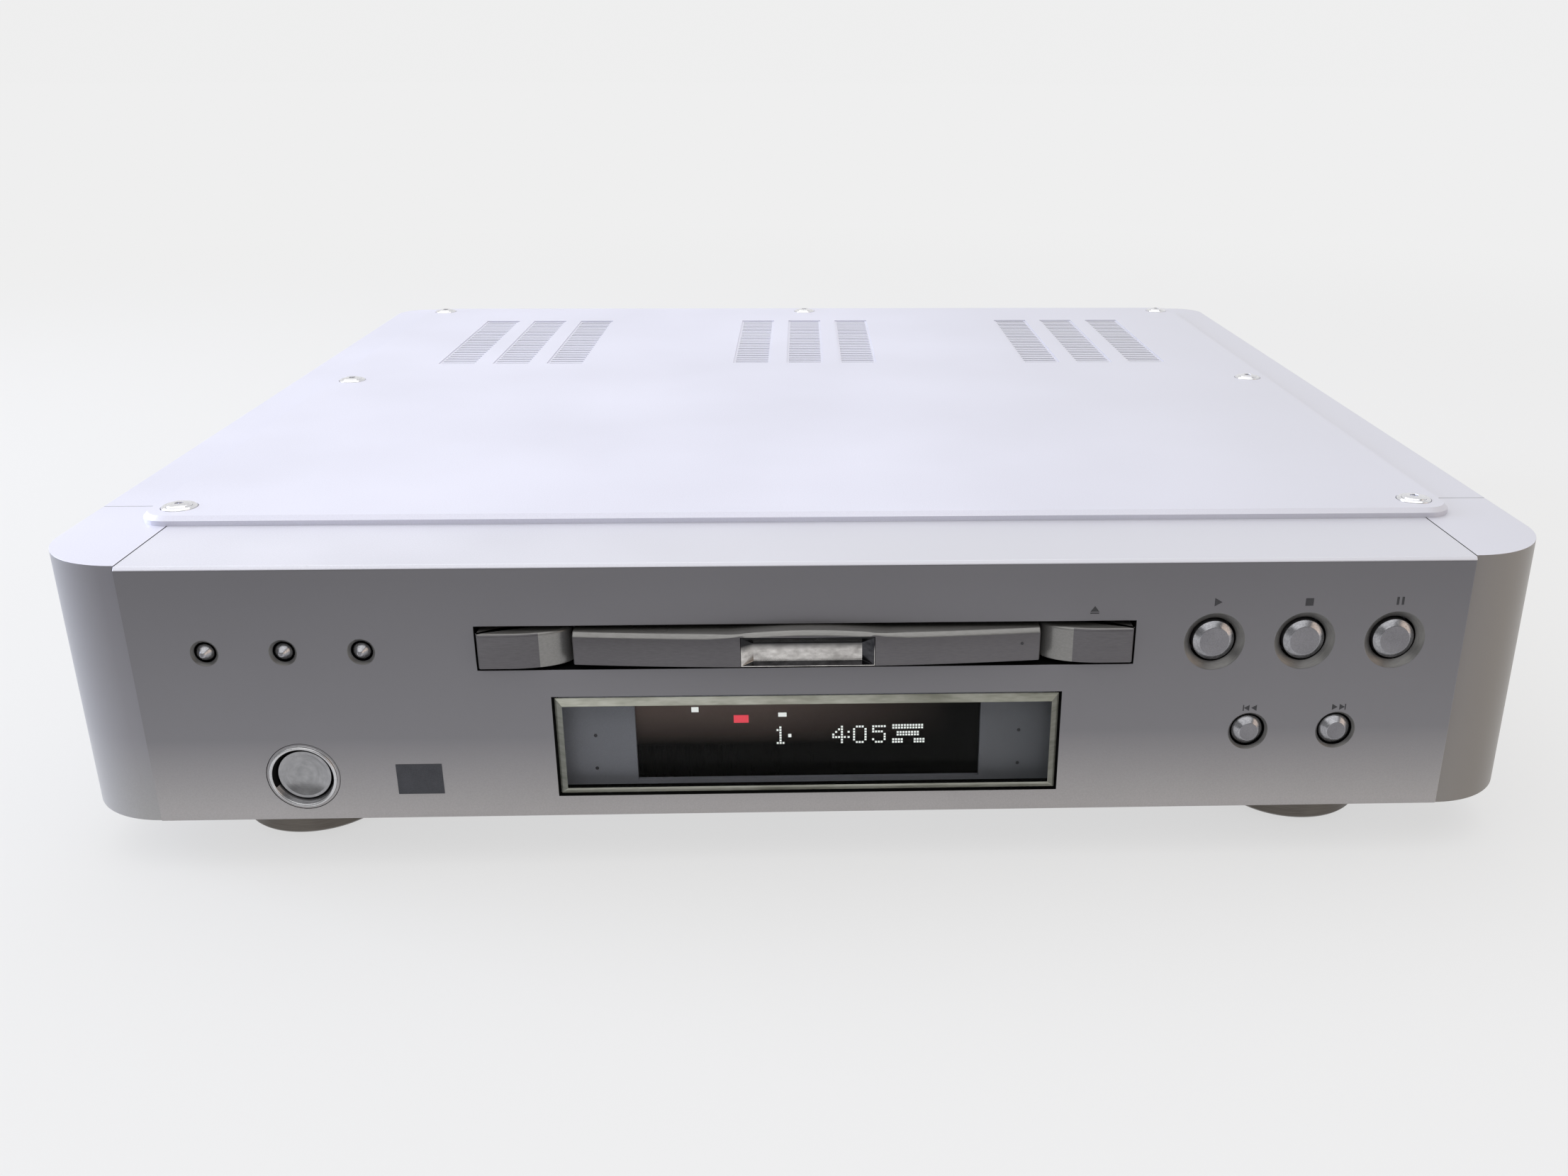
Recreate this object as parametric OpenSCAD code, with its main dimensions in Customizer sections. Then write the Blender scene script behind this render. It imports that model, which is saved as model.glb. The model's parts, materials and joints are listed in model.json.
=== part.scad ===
// Full-width disc player with a motor-driven tray.
// Lengths are in millimetres. Inside the modules, x runs to the right from the
// middle of the front panel, y runs back from the panel's face, and z runs up
// from the panel's lower edge. place() then stands the whole player on its feet
// with the origin below its middle.

/* [Case] */
// Overall width, over the side cheeks
body_w = 458; // [440:1:560]
// Depth from the panel's face to the rear ends of the cheeks
body_d = 444; // [430:1:560]
// Height of the panel, posts and cheeks
panel_h = 83; // [83:1:110]
// Thickness of the front panel's face
panel_t = 8; // [6:0.5:12]
// Depth of the panel's top return, which runs under the cover
panel_lip = 60; // [50:1:80]
// Width of each corner post, seen from the front
post_w = 29; // [28:0.5:34]
// Radius of the rounded front corners
post_r = 27; // [15:1:27]
// How far the posts stand back from the panel's face
post_back = 3.6; // [1:0.1:6]
// Wall of the extruded posts and cheeks
wall = 5; // [3:0.5:7]
// Thickness of the top returns
return_t = 4; // [3:0.5:5]
// Radius of the rounded rear corners
rear_r = 14; // [8:1:20]
// Thickness of the bottom and rear plates
sheet_t = 1.6; // [1:0.1:2.5]
// Visible seam between neighbouring case parts
seam = 0.3; // [0.1:0.05:0.6]

/* [Cover] */
// Thickness of the top cover
cover_t = 3; // [2:0.5:4]
// Distance from the panel's face to the cover's front edge
cover_y = 39; // [30:1:48]
// Strip of cheek left bare beside the cover
cover_side = 19; // [12:1:22]
// Distance from the cover's rear edge to the ends of the cheeks
cover_rear = 14; // [12:1:20]
// Corner radius of the cover
cover_r = 9; // [4:1:14]
// Bright chamfer round the cover's upper edge
cover_bevel = 1.4; // [0.4:0.1:1.6]
// Distance of the cover screws from its edges
screw_inset = 11; // [9:0.5:16]
// Diameter of the cup washers on the cover
washer_d = 11; // [9:0.5:13]
// Width of one block of vent slots
vent_w = 15.2; // [10:0.2:20]
// Spacing of the vent blocks in a group
vent_pitch = 25; // [21:0.5:30]
// Distance from the middle group of blocks to the outer ones
vent_group = 137; // [110:1:150]
// Slots in one block
vent_slots = 26; // [10:1:32]
// Spacing of the slots
slot_pitch = 4.4; // [3:0.1:5]
// Width of one slot
slot_w = 1.5; // [1:0.1:2.5]
// Distance from the cover's rear edge to the last slot
vent_rear = 44; // [30:1:60]
// Depth of the shallow recess round each block of slots
vent_sink = 0.4; // [0.2:0.1:1]

/* [Feet] */
// Height of a foot, with its rubber pad
foot_h = 17.5; // [10:0.5:30]
// Radius of a foot
foot_r = 20.5; // [15:0.5:25]
// Distance from the middle to the centre of a foot
foot_x = 165.5; // [140:0.5:180]
// Distance from the panel's face to the centre of a front foot
foot_y = 41; // [35:1:60]

/* [Tray] */
// Width of the slot for the tray and its two side buttons
slot_total_w = 197.4; // [180:0.2:220]
// Lower edge of the slot
slot_z = 49.6; // [45:0.2:52]
// Height of the slot
slot_h = 14.1; // [14.1:0.1:15]
// Width of the tray's front
front_w = 139.4; // [136:0.2:140]
// Height of the tray's front
front_h = 10.3; // [8:0.1:11]
// How far the ends of the tray's front stand out of the panel
front_proud = 1.6; // [1:0.1:3]
// How much further its middle stands out
front_bulge = 3.6; // [1:0.1:6]
// Length of the bright insert in the middle
insert_w = 40; // [20:1:50]
// Length of the tray behind its front
tray_l = 194; // [190:1:196]
// Distance from the panel's face to the middle of the disc
disc_y = 84; // [84:0.5:88]
// Radius of the disc's recess
disc_r = 61; // [60.5:0.1:62]
// Thickness of the tray's floor
tray_floor = 1.6; // [1.2:0.1:2]
// How far the tray runs out
tray_travel = 150; // [120:1:150]
// Free space beside and below a sliding part
slide_gap = 0.4; // [0.3:0.05:0.8]

/* [Controls] */
// Place and spacing of play, stop and pause
transport_x = 150.7; // [140:0.1:160]
transport_pitch = 27.7; // [22:0.1:30]
transport_z = 56.6; // [50:0.1:65]
// Place and spacing of previous and next
skip_x = 150.2; // [140:0.1:160]
skip_pitch = 27.5; // [20:0.1:30]
skip_z = 26.4; // [20:0.1:35]
// Place and spacing of the three small buttons
mode_x = -155.2; // [-165:0.1:-140]
mode_pitch = 22.9; // [15:0.1:25]
mode_z = 56; // [45:0.1:65]
// Place of the power button
power_x = -154.8; // [-165:0.1:-130]
power_z = 14.8; // [14:0.1:25]
// Radius of a transport button
transport_r = 6.75; // [5:0.05:8]
// Radius of a skip button
skip_r = 5.1; // [4:0.05:6]
// Radius of a small button
mode_r = 2.9; // [2:0.05:4]
// Radius of the power button
power_r = 8; // [6:0.1:10]
// Radial gap between a button and its hole
button_gap = 0.3; // [0.2:0.05:0.4]
// Travel of the buttons
press = 1.2; // [0.5:0.1:1.5]

/* [Display] */
// Width and height of the window's opening
window_w = 155; // [140:0.5:160]
window_h = 33.7; // [28:0.1:34]
// Lower edge of the opening
window_z = 6.9; // [5:0.1:8]
// Width and height of the dark field behind the window
field_w = 107; // [90:0.5:120]
field_h = 28; // [20:0.1:29]
// Thickness of the clear window
window_t = 6; // [4:0.5:8]
// Bevel round the window
window_bevel = 2.4; // [1:0.1:3]

/* [Hidden] */
$fn = 64;
eps = 1;

// Case
half_w = body_w / 2;
panel_x = half_w - post_w;
post_cx = half_w - post_r;
post_cy = post_back + post_r;
post_end = panel_lip + 0.5;
inner_x = half_w - wall - seam;
cheek_y = post_end + seam;
cover_x = half_w - cover_side;
cover_end = body_d - cover_rear;
vent_length = (vent_slots - 1) * slot_pitch + slot_w;
vent_front = cover_end - vent_rear + slot_w - vent_length;
front_most = front_proud + front_bulge;
mid_y = (body_d - front_most) / 2;
rear_y = cover_end - sheet_t;
tongue = 9;
tongue_y = cover_y + 3;

// Cover screws: [x, y], and the hole for a screw's shank
screw_hole = 1.7;
screw_x = cover_x - screw_inset + 1;
screw_y = [cover_y + screw_inset, (cover_y + cover_end) / 2 + 5, cover_end - screw_inset];
screw_spots = [
    [-screw_x, screw_y[0]], [screw_x, screw_y[0]], [-screw_x, screw_y[1]], [screw_x, screw_y[1]],
    [-screw_x, screw_y[2]], [screw_x, screw_y[2]], [0, screw_y[2]]
];

// Feet
pad_t = 2;
pad_r = 17;
foot_bore = 2.4;
foot_spots = [[-foot_x, foot_y], [foot_x, foot_y], [-foot_x, body_d - foot_y], [foot_x, body_d - foot_y]];

// Key boards, behind the panel
board_t = 1.6;
keys_y = panel_t + 14;
switch_t = 3.6;
plunger = 0.3;
stem_end = keys_y - switch_t - plunger - press - 0.1;
flange_t = 1.2;
flange_y = panel_t + slide_gap;
boss_spots = [for (x = [-panel_x + 9, -94, 94, panel_x - 9], z = [8, 40]) [x, z]];

// Tray, in the closed position
tray_x = front_w / 2 - 1.7;
tray_z = slot_z + 0.8;
tray_h = 10;
tray_top = tray_z + tray_h;
recess_z = tray_z + 3.6 + tray_floor;
tray_y = 5;
tray_end = tray_y + tray_l;
front_z = slot_z + 2.2;
front_back = tray_y;
side_gap = 0.9;
button_h = front_h + 0.9;
button_z = front_z - 0.9;
pickup_slot_w = 45;
pickup_slot = [disc_y - 22, disc_y + 84];
bulge_r = (pow(front_w / 2, 2) + pow(front_bulge, 2)) / (2 * front_bulge);

// Gears: module 1, teeth counts, and places of the axles
gear_m = 1;
addendum = 0.8;
backlash = 0.2;
pinion_teeth = 18;
big_teeth = 26;
small_teeth = 12;
pinion_r = gear_m * pinion_teeth / 2;
rack_x = tray_x - 5;
gear_x = rack_x - pinion_r;
gear_y = 41;
pulley_x = gear_x - gear_m * (big_teeth + small_teeth) / 2;
pulley_r = 14;
motor_x = pulley_x - 40;
motor_pulley_r = 3;
axle_r = 2;
axle_gap = 0.05;
belt_t = 1.4;
belt_gap = 0.08;
deck_t = 2.5;
deck_z = 22;
deck_top = deck_z + deck_t;
pulley_z = 37.6;
gear_z = 43.2;
gear_t = 3.6;
rack_z = tray_z + 0.4;
rack_h = 3;

// Loader frame
frame_wall = 2.6;
frame_x = tray_x + slide_gap + frame_wall;
frame_y = [30, tray_end + 12];
frame_top = tray_top + 3;
bridge_z = frame_top;
bridge_t = 1.6;
bridge_top = bridge_z + bridge_t;
clamp_z = tray_top + 0.6;

// Pickup mechanism, at rest on its pads
mech_x = 41;
mech_y = [60, 198];
mech_z = 33;
mech_t = 1.5;
mech_lift = 8.4;
table_r = 16;
table_z = tray_z + 1.4;
cone_r = 7.4;
cone_h = 2;
cone_lifted = table_z + cone_h + mech_lift;
spindle_r = 12;
sled_y = disc_y + 25;
sled_travel = 34;
follower_l = 12;
rod_z = mech_z + 6;
rod_r = 1.5;
holder_top = rod_z + 2.5;
rod_left = -27;
rod_right = 20;
screw_pos = 29;
screw_r = 1.8;
screw_pitch = 4;

// Electronics
board_z = 10;
board_top = board_z + board_t;
inlet_x = -176;
inlet_z = 38;
inlet_w = 27.4;
inlet_h = 19.8;

// ---------------------------------------------------------------- helpers

module place() translate([0, -mid_y, foot_h]) children();

// A block between two limits along each axis
module block(x, y, z)
    translate([x[0], y[0], z[0]]) cube([x[1] - x[0], y[1] - y[0], z[1] - z[0]]);

// A round bar along y
module bar_y(r, y)
    translate([0, y[0], 0]) rotate([-90, 0, 0]) cylinder(r = r, h = y[1] - y[0]);

// A profile of [radius, y] points turned about the y axis
module turned_y(points) rotate([-90, 0, 0]) rotate_extrude() polygon(points);

// A quarter ring with an upright axis, from the angle a to a + 90
module quarter(a, r_in, r_out, h)
    rotate([0, 0, a]) rotate_extrude(angle = 90) translate([r_in, 0]) square([r_out - r_in, h]);

// A slab with rounded corners and a bevel round its upper edge
module eased_slab(x, y, z, r, c) {
    outline = [[r, z[0] - eps], [2 * r + 2 * c, z[0] - eps], [2 * r + 2 * c, z[1] + eps],
               [r - c - eps, z[1] + eps], [r, z[1] - c]];
    wedge = [[0, z[1] - c], [eps, z[1] - c], [eps, z[1] + eps], [-c - eps, z[1] + eps]];
    corners = [[x[0] + r, y[0] + r, 180], [x[1] - r, y[0] + r, 270],
               [x[1] - r, y[1] - r, 0], [x[0] + r, y[1] - r, 90]];
    runs = [[x[0] + r, y[0], -90, x[1] - x[0] - 2 * r], [x[1], y[0] + r, 0, y[1] - y[0] - 2 * r],
            [x[1] - r, y[1], 90, x[1] - x[0] - 2 * r], [x[0], y[1] - r, 180, y[1] - y[0] - 2 * r]];
    difference() {
        block(x, y, z);
        for (k = corners)
            translate([k[0], k[1], 0]) rotate([0, 0, k[2]]) rotate_extrude(angle = 90) polygon(outline);
        for (k = runs)
            translate([k[0], k[1], 0]) rotate([0, 0, k[2]])
                rotate([90, 0, 0]) mirror([0, 0, 1]) linear_extrude(k[3]) polygon(wedge);
    }
}

// An involute point at the roll angle t, in degrees, on the base circle r
function involute(r, t) = [r * (cos(t) + t * PI / 180 * sin(t)), r * (sin(t) - t * PI / 180 * cos(t))];

// Polar angle of the involute where it reaches the radius q
function involute_turn(r, q) = let (roll = sqrt(pow(q / r, 2) - 1)) roll * 180 / PI - atan(roll);

// Outline of a gear whose first tooth points along +x
function gear_outline(teeth) =
    let (
        pitch_r = gear_m * teeth / 2,
        base_r = pitch_r * cos(20),
        tip_r = pitch_r + addendum * gear_m,
        root_r = pitch_r - (addendum + 0.25) * gear_m,
        half = 90 / teeth - backlash / pitch_r * 90 / PI,
        reach = half + involute_turn(base_r, pitch_r),
        radii = [for (k = [0:3]) max(base_r, root_r) + (tip_r - max(base_r, root_r)) * k / 3],
        flank = [for (q = radii) [q, reach - involute_turn(base_r, q)]],
        foot = [[root_r, reach]]
    )
    [for (n = [0:teeth - 1], side = [-1, 1], k = [0:4])
        let (
            step = side < 0 ? k : 4 - k,
            p = step == 0 ? foot[0] : flank[step - 1],
            a = 360 / teeth * n + side * p[1]
        )
        [p[0] * cos(a), p[0] * sin(a)]];

// Outline of a straight rack along y, with its teeth towards -x and a tooth at y = 0
function rack_outline(count, depth) =
    let (
        pitch = PI * gear_m,
        half = pitch / 4 - backlash / 2,
        slope = tan(20),
        tip = addendum * gear_m,
        root = (addendum + 0.25) * gear_m
    )
    concat(
        [for (n = [0:count - 1], p = [[root, -1], [-tip, -1], [-tip, 1], [root, 1]])
            [p[0], n * pitch + p[1] * (half + p[0] * slope)]],
        [[depth, (count - 1) * pitch + half + root * slope], [depth, -half - root * slope]]
    );

// ---------------------------------------------------------------- case

// Dish and bore for a button in the panel
module button_hole(r, dish_r, dish) {
    bar_y(r + button_gap, [-eps, panel_t + eps]);
    mouth_r = dish_r + eps * (dish_r - r - button_gap) / dish;
    turned_y([[0, -eps], [mouth_r, -eps], [r + button_gap, dish], [0, dish]]);
}

module front_panel() color("#8e8d90") place() difference() {
    union() {
        block([-panel_x, panel_x], [0, panel_t], [0, panel_h]);
        block([-panel_x, panel_x], [panel_t, panel_lip], [panel_h - return_t, panel_h]);
        for (p = boss_spots) translate([p[0], 0, p[1]]) bar_y(3, [panel_t, keys_y]);
    }
    translate([0, 0, panel_h]) rotate([45, 0, 0])
        block([-panel_x - eps, panel_x + eps], [-2, 2], [-1.3, 1.3]);
    block([-slot_total_w / 2, slot_total_w / 2], [-eps, panel_t + eps], [slot_z, slot_z + slot_h]);
    block([-window_w / 2, window_w / 2], [-eps, panel_t + eps], [window_z, window_z + window_h]);
    for (k = [-1:1]) {
        translate([transport_x + k * transport_pitch, 0, transport_z]) button_hole(transport_r, 9.3, 2);
        translate([mode_x + k * mode_pitch, 0, mode_z]) button_hole(mode_r, 4.1, 1);
    }
    for (k = [-1, 1])
        translate([skip_x + k * skip_pitch / 2, 0, skip_z]) button_hole(skip_r, 6.2, 1);
    translate([power_x, 0, power_z]) {
        bar_y(power_r + button_gap, [-eps, panel_t + eps]);
        bar_y(power_r + 3.1, [-eps, 2.4]);
    }
    for (s = [-1, 1])
        block([s * panel_x - tongue, s * panel_x + tongue], [tongue_y, panel_lip + eps],
              [panel_h - return_t - eps, panel_h + eps]);
}

// Right-hand post: a quarter-round extrusion with a flat top, whose tongue under the cover takes a screw
module corner_post() difference() {
    post_body();
    translate([screw_x, screw_y[0], panel_h - return_t - eps])
        cylinder(r = screw_hole, h = return_t + 2 * eps);
}

module post_body() {
    block([panel_x - tongue + seam, panel_x + 2 * seam], [tongue_y + seam, post_end],
          [panel_h - return_t, panel_h]);
    translate([post_cx, post_cy, 0]) quarter(-90, post_r - wall, post_r, panel_h - return_t);
    translate([post_cx, post_cy, panel_h - return_t]) quarter(-90, 0, post_r, return_t);
    block([panel_x + seam, post_cx], [post_back, post_back + wall], [0, panel_h - return_t]);
    block([half_w - wall, half_w], [post_cy, post_end], [0, panel_h - return_t]);
    block([panel_x + seam, post_cx], [post_back, post_end], [panel_h - return_t, panel_h]);
    block([post_cx, half_w], [post_cy, post_end], [panel_h - return_t, panel_h]);
}

module corner_post_left() color("#8d93a3") place() mirror([1, 0, 0]) corner_post();

module corner_post_right() color("#958d8b") place() corner_post();

// Right-hand cheek: an angle section whose rear end turns in round the corner
module side_cheek() difference() {
    union() {
        block([half_w - wall, half_w], [cheek_y, body_d - rear_r], [0, panel_h - return_t]);
        translate([half_w - rear_r, body_d - rear_r, 0])
            quarter(0, rear_r - wall, rear_r, panel_h - return_t);
        block([cover_x - 7, half_w - rear_r], [body_d - wall, body_d], [0, panel_h - return_t]);
        block([cover_x - 16, half_w - rear_r], [cheek_y, body_d], [panel_h - return_t, panel_h]);
        block([half_w - rear_r, half_w], [cheek_y, body_d - rear_r], [panel_h - return_t, panel_h]);
        translate([half_w - rear_r, body_d - rear_r, panel_h - return_t]) quarter(0, 0, rear_r, return_t);
    }
    for (y = [screw_y[1], screw_y[2]])
        translate([screw_x, y, panel_h - return_t - eps]) cylinder(r = screw_hole, h = return_t + 2 * eps);
}

module side_cheek_left() color("#c9c9d6") place() mirror([1, 0, 0]) side_cheek();

module side_cheek_right() color("#c9c9d6") place() side_cheek();

module top_cover() color("#d9d9e4") place() difference() {
    eased_slab([-cover_x, cover_x], [cover_y, cover_end], [panel_h, panel_h + cover_t], cover_r, cover_bevel);
    for (p = screw_spots) translate([p[0], p[1], panel_h]) {
        translate([0, 0, -eps]) cylinder(r = 2.2, h = cover_t + 2 * eps);
        translate([0, 0, cover_t - 1]) cylinder(r = washer_d / 2 + 0.2, h = 1 + eps);
    }
    translate([0, 0, panel_h - eps]) linear_extrude(cover_t + 2 * eps)
        for (g = [-1:1], b = [-1:1], n = [0:vent_slots - 1])
            translate([g * vent_group + b * vent_pitch - vent_w / 2, cover_end - vent_rear - n * slot_pitch])
                square([vent_w, slot_w]);
    translate([0, 0, panel_h + cover_t - vent_sink]) linear_extrude(vent_sink + eps)
        for (g = [-1:1], b = [-1:1])
            translate([g * vent_group + b * vent_pitch - vent_w / 2 - 1, vent_front - 1])
                square([vent_w + 2, vent_length + 2]);
}

// Cup washer and socket screw, seen from above at the origin
module cover_screw() {
    difference() {
        rotate_extrude() polygon([
            [2.2, -1], [washer_d / 2, -1], [washer_d / 2, 0.1], [washer_d / 2 - 0.6, 0.6],
            [washer_d / 2 - 1.2, 0.6], [2.2, -0.7]
        ]);
        translate([0, 0, -eps - 1]) cylinder(r = 1.9, h = 4);
    }
    difference() {
        union() {
            translate([0, 0, -cover_t - return_t])
                cylinder(r = screw_hole - 0.1, h = cover_t + return_t - 0.6);
            rotate_extrude() polygon([[0, -0.7], [2.1, -0.7], [4, 0.45], [3.6, 0.95], [2.6, 1.25], [0, 1.4]]);
        }
        translate([0, 0, 0.2]) cylinder(r = 1.5, h = 2, $fn = 6);
    }
}

module cover_screws() color("#e6e6ea") place()
    for (p = screw_spots) translate([p[0], p[1], panel_h + cover_t]) cover_screw();

module bottom_plate() color("#b9babd") place() difference() {
    union() {
        block([-inner_x, inner_x], [post_cy, rear_y + sheet_t], [0, sheet_t]);
        block([-panel_x, panel_x], [panel_t + seam, post_cy], [0, sheet_t]);
    }
    for (p = foot_spots) translate([p[0], p[1], -eps]) cylinder(r = foot_bore, h = sheet_t + 2 * eps);
    for (x = [-1, 1], n = [0:11])
        block([x * 95 - 30, x * 95 + 30], [230 + n * 7, 233 + n * 7], [-eps, sheet_t + eps]);
}

// Places of the sockets in the rear panel: [x, z, hole radius]
jack_r = 4.2;
jack_spots = concat(
    [for (k = [0:3], z = [24, 46]) [48 + k * 17, z, jack_r]],
    [for (k = [0:1], z = [24, 46]) [136 + k * 22, z, jack_r]],
    [for (k = [0:4]) [-66 + k * 19, 46, jack_r]],
    [for (k = [0:1]) [-66 + k * 19, 24, jack_r]]
);

module rear_panel() color("#3c3d41") place() difference() {
    union() {
        block([-inner_x, inner_x], [rear_y, rear_y + sheet_t], [sheet_t, panel_h - return_t]);
        block([-cover_x + 17, cover_x - 17], [rear_y, rear_y + sheet_t], [panel_h - return_t, panel_h]);
    }
    for (k = jack_spots) translate([k[0], 0, k[1]]) bar_y(k[2] + 0.3, [rear_y - eps, rear_y + sheet_t + eps]);
    block([inlet_x - inlet_w / 2 - 0.3, inlet_x + inlet_w / 2 + 0.3], [rear_y - eps, rear_y + sheet_t + eps],
          [inlet_z - inlet_h / 2 - 0.3, inlet_z + inlet_h / 2 + 0.3]);
    for (p = rear_screw_spots)
        translate([p[0], 0, p[1]]) bar_y(screw_hole, [rear_y - eps, rear_y + sheet_t + eps]);
}

flange_out = 2.4;

// Places of the rear screws: [x, z, height of the face they sit on]
rear_screw_spots = concat(
    [for (x = [-1, 1], z = [12, panel_h - 13]) [x * (inner_x - 13), z, 0]],
    [for (x = [-120, 0, 120], z = [10, panel_h - 13]) [x, z, 0]],
    [for (x = [-20, 20]) [inlet_x + x, inlet_z, flange_out]]
);

module rear_screws() color("#55565a") place()
    for (p = rear_screw_spots) translate([p[0], rear_y + sheet_t + p[2], p[1]]) difference() {
        union() {
            turned_y([[0, 0], [3.2, 0], [3.2, 0.9], [2.2, 1.9], [0, 2.1]]);
            bar_y(screw_hole - 0.2, [-5.6, 0]);
        }
        block([-2, 2], [1.2, 3], [-0.4, 0.4]);
        block([-0.4, 0.4], [1.2, 3], [-2, 2]);
    }

// ---------------------------------------------------------------- feet

module foot(p) color("#b5b2ad") place() translate([p[0], p[1], -foot_h]) difference() {
    rotate_extrude() polygon([
        [foot_bore, pad_t - 0.5], [pad_r - 7, pad_t - 0.5], [pad_r - 7, pad_t], [foot_r - 1.6, pad_t],
        [foot_r - 0.6, pad_t + 1], [foot_r - 0.6, foot_h - 4.4], [foot_r - 1.4, foot_h - 4],
        [foot_r - 1.4, foot_h - 3.2], [foot_r, foot_h - 2.8], [foot_r, foot_h], [foot_bore, foot_h]
    ]);
    translate([0, 0, -eps]) cylinder(r = 6, h = 7 + eps);
}

module foot_front_left() foot(foot_spots[0]);

module foot_front_right() foot(foot_spots[1]);

module foot_rear_left() foot(foot_spots[2]);

module foot_rear_right() foot(foot_spots[3]);

module foot_pads() color("#2b2b2d") place()
    for (p = foot_spots) translate([p[0], p[1], -foot_h])
        rotate_extrude() polygon([
            [pad_r - 6.5, 0], [pad_r - 1, 0], [pad_r, 0.6], [pad_r, pad_t], [pad_r - 6.5, pad_t]
        ]);

module foot_screws() color("#8a8b8e") place()
    for (p = foot_spots) translate([p[0], p[1], -foot_h]) difference() {
        rotate_extrude() polygon([
            [0, 4.4], [3, 4.4], [4, 5], [4, 7], [2.1, 7], [2.1, foot_h + 4], [0, foot_h + 4]
        ]);
        translate([0, 0, 4]) cylinder(r = 1.8, h = 2, $fn = 6);
    }

// ---------------------------------------------------------------- display

window_fit = 0.6;
window_front = -0.6;
mask_y = window_front + window_t + 0.1;
mask_t = 1.6;
field_z = window_z + 2.4;

// The window is a clear block: a bevelled outline from above crossed with one from the side
module display_window() color("#b9cfc8", 0.4) place() {
    half = window_w / 2 - window_fit;
    low = window_z + window_fit;
    high = window_z + window_h - window_fit;
    b = window_bevel;
    back = window_front + window_t;
    intersection() {
        translate([0, 0, low]) linear_extrude(high - low) polygon([
            [-half, back], [-half, window_front + b * 0.6], [-half + b, window_front],
            [half - b, window_front], [half, window_front + b * 0.6], [half, back]
        ]);
        translate([-half, 0, 0]) rotate([90, 0, 90]) linear_extrude(2 * half) polygon([
            [back, low], [window_front + b * 0.6, low], [window_front, low + b],
            [window_front, high - b], [window_front + b * 0.6, high], [back, high]
        ]);
    }
}

module display_mask() color("#5c5e64") place() difference() {
    block([-window_w / 2 + 1, window_w / 2 - 1], [mask_y, mask_y + mask_t],
          [window_z + 1, window_z + window_h - 1]);
    block([-field_w / 2, field_w / 2], [mask_y - eps, mask_y + mask_t + eps],
          [field_z, field_z + field_h]);
}

module display_tube() color("#15120f") place() {
    front = mask_y + mask_t + 0.1;
    middle = front + 4.9;
    back = front + 6.3;
    block([-field_w / 2 - 4, field_w / 2 + 4], [front, middle], [field_z - 2, field_z + field_h + 2]);
    block([-field_w / 2 - 2, field_w / 2 + 2], [middle, back], [field_z - 1, field_z + field_h + 1]);
    for (n = [-12:12]) block([n * 4 - 0.3, n * 4 + 0.3], [back, keys_y], [field_z + 0.5, field_z + 1]);
}

// ---------------------------------------------------------------- controls

module power_ring() color("#d8d8dc") place() translate([power_x, 0, power_z])
    turned_y([[power_r + button_gap, 2.4], [power_r + button_gap, 1.2], [power_r + 2.2, -0.8],
              [power_r + 2.9, -0.4], [power_r + 2.9, 2.4]]);

// Profile of a round button with a bevelled face, its flange behind the panel and its stem
function cap_profile(r, face_r, proud) = [
    [0, -proud], [face_r, -proud], [r, 0.8], [r, flange_y], [r + 1.6, flange_y],
    [r + 1.6, flange_y + flange_t], [r * 0.5, flange_y + flange_t], [r * 0.5, stem_end], [0, stem_end]
];

module power_button() color("#c4c4cb") place() translate([power_x, 0, power_z]) difference() {
    turned_y(cap_profile(power_r, power_r - 0.6, 0.8));
    translate([0, -20.6, 0]) sphere(r = 21);
}

module transport_button(n, face)
    color(face) place() translate([transport_x + n * transport_pitch, 0, transport_z])
        turned_y(cap_profile(transport_r, transport_r - 2, 1));

module play_button() transport_button(-1, "#b4b3b8");

module stop_button() transport_button(0, "#b4b3b8");

module pause_button() transport_button(1, "#b4b3b8");

module skip_button(n)
    color("#c9c9cc") place() translate([skip_x + n * skip_pitch / 2, 0, skip_z])
        turned_y(cap_profile(skip_r, skip_r - 2.1, 1.2));

module previous_button() skip_button(-1);

module next_button() skip_button(1);

module mode_button(n)
    color("#cfcfd3") place() translate([mode_x + n * mode_pitch, 0, mode_z])
        turned_y(cap_profile(mode_r, 0.7, 1.8));

module mode_button_left() mode_button(-1);

module mode_button_middle() mode_button(0);

module mode_button_right() mode_button(1);

// Right-hand side button: a flat outer part, and a quarter ellipse that falls away towards the tray
module side_button() {
    x_in = front_w / 2 + side_gap;
    x_out = slot_total_w / 2 - side_gap;
    curve_w = x_out - x_in - 9;
    y_out = -2.2;
    y_in = 5.8;
    n = 18;
    curve = [for (k = [0:n])
        [x_in + curve_w * (1 - sin(90 * k / n)), y_out + (y_in - y_out) * (1 - cos(90 * k / n))]];
    translate([0, 0, button_z]) linear_extrude(button_h) polygon(concat(
        [[x_out, y_out + 0.5], [x_out - 0.5, y_out]], curve, [[x_in, panel_t], [x_out, panel_t]]
    ));
    block([x_in + 2, x_out + 3], [flange_y, flange_y + flange_t], [button_z + 1, slot_z + slot_h + 2]);
    block([x_in + 4, x_out - 4], [panel_t - eps, flange_y + eps], [button_z + 2, button_z + button_h - 2]);
    translate([(x_in + x_out) / 2, 0, button_z + button_h / 2]) bar_y(2.2, [flange_y, stem_end]);
}

module video_button() color("#8b8a90") place() mirror([1, 0, 0]) side_button();

module open_close_button() color("#8b8a90") place() side_button();

// A push switch on its board, with the plunger towards the button
module push_switch(x, z) translate([x, 0, z]) {
    block([-3, 3], [keys_y - switch_t, keys_y], [-3, 3]);
    bar_y(1.6, [keys_y - switch_t - plunger, keys_y - switch_t]);
}

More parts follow.
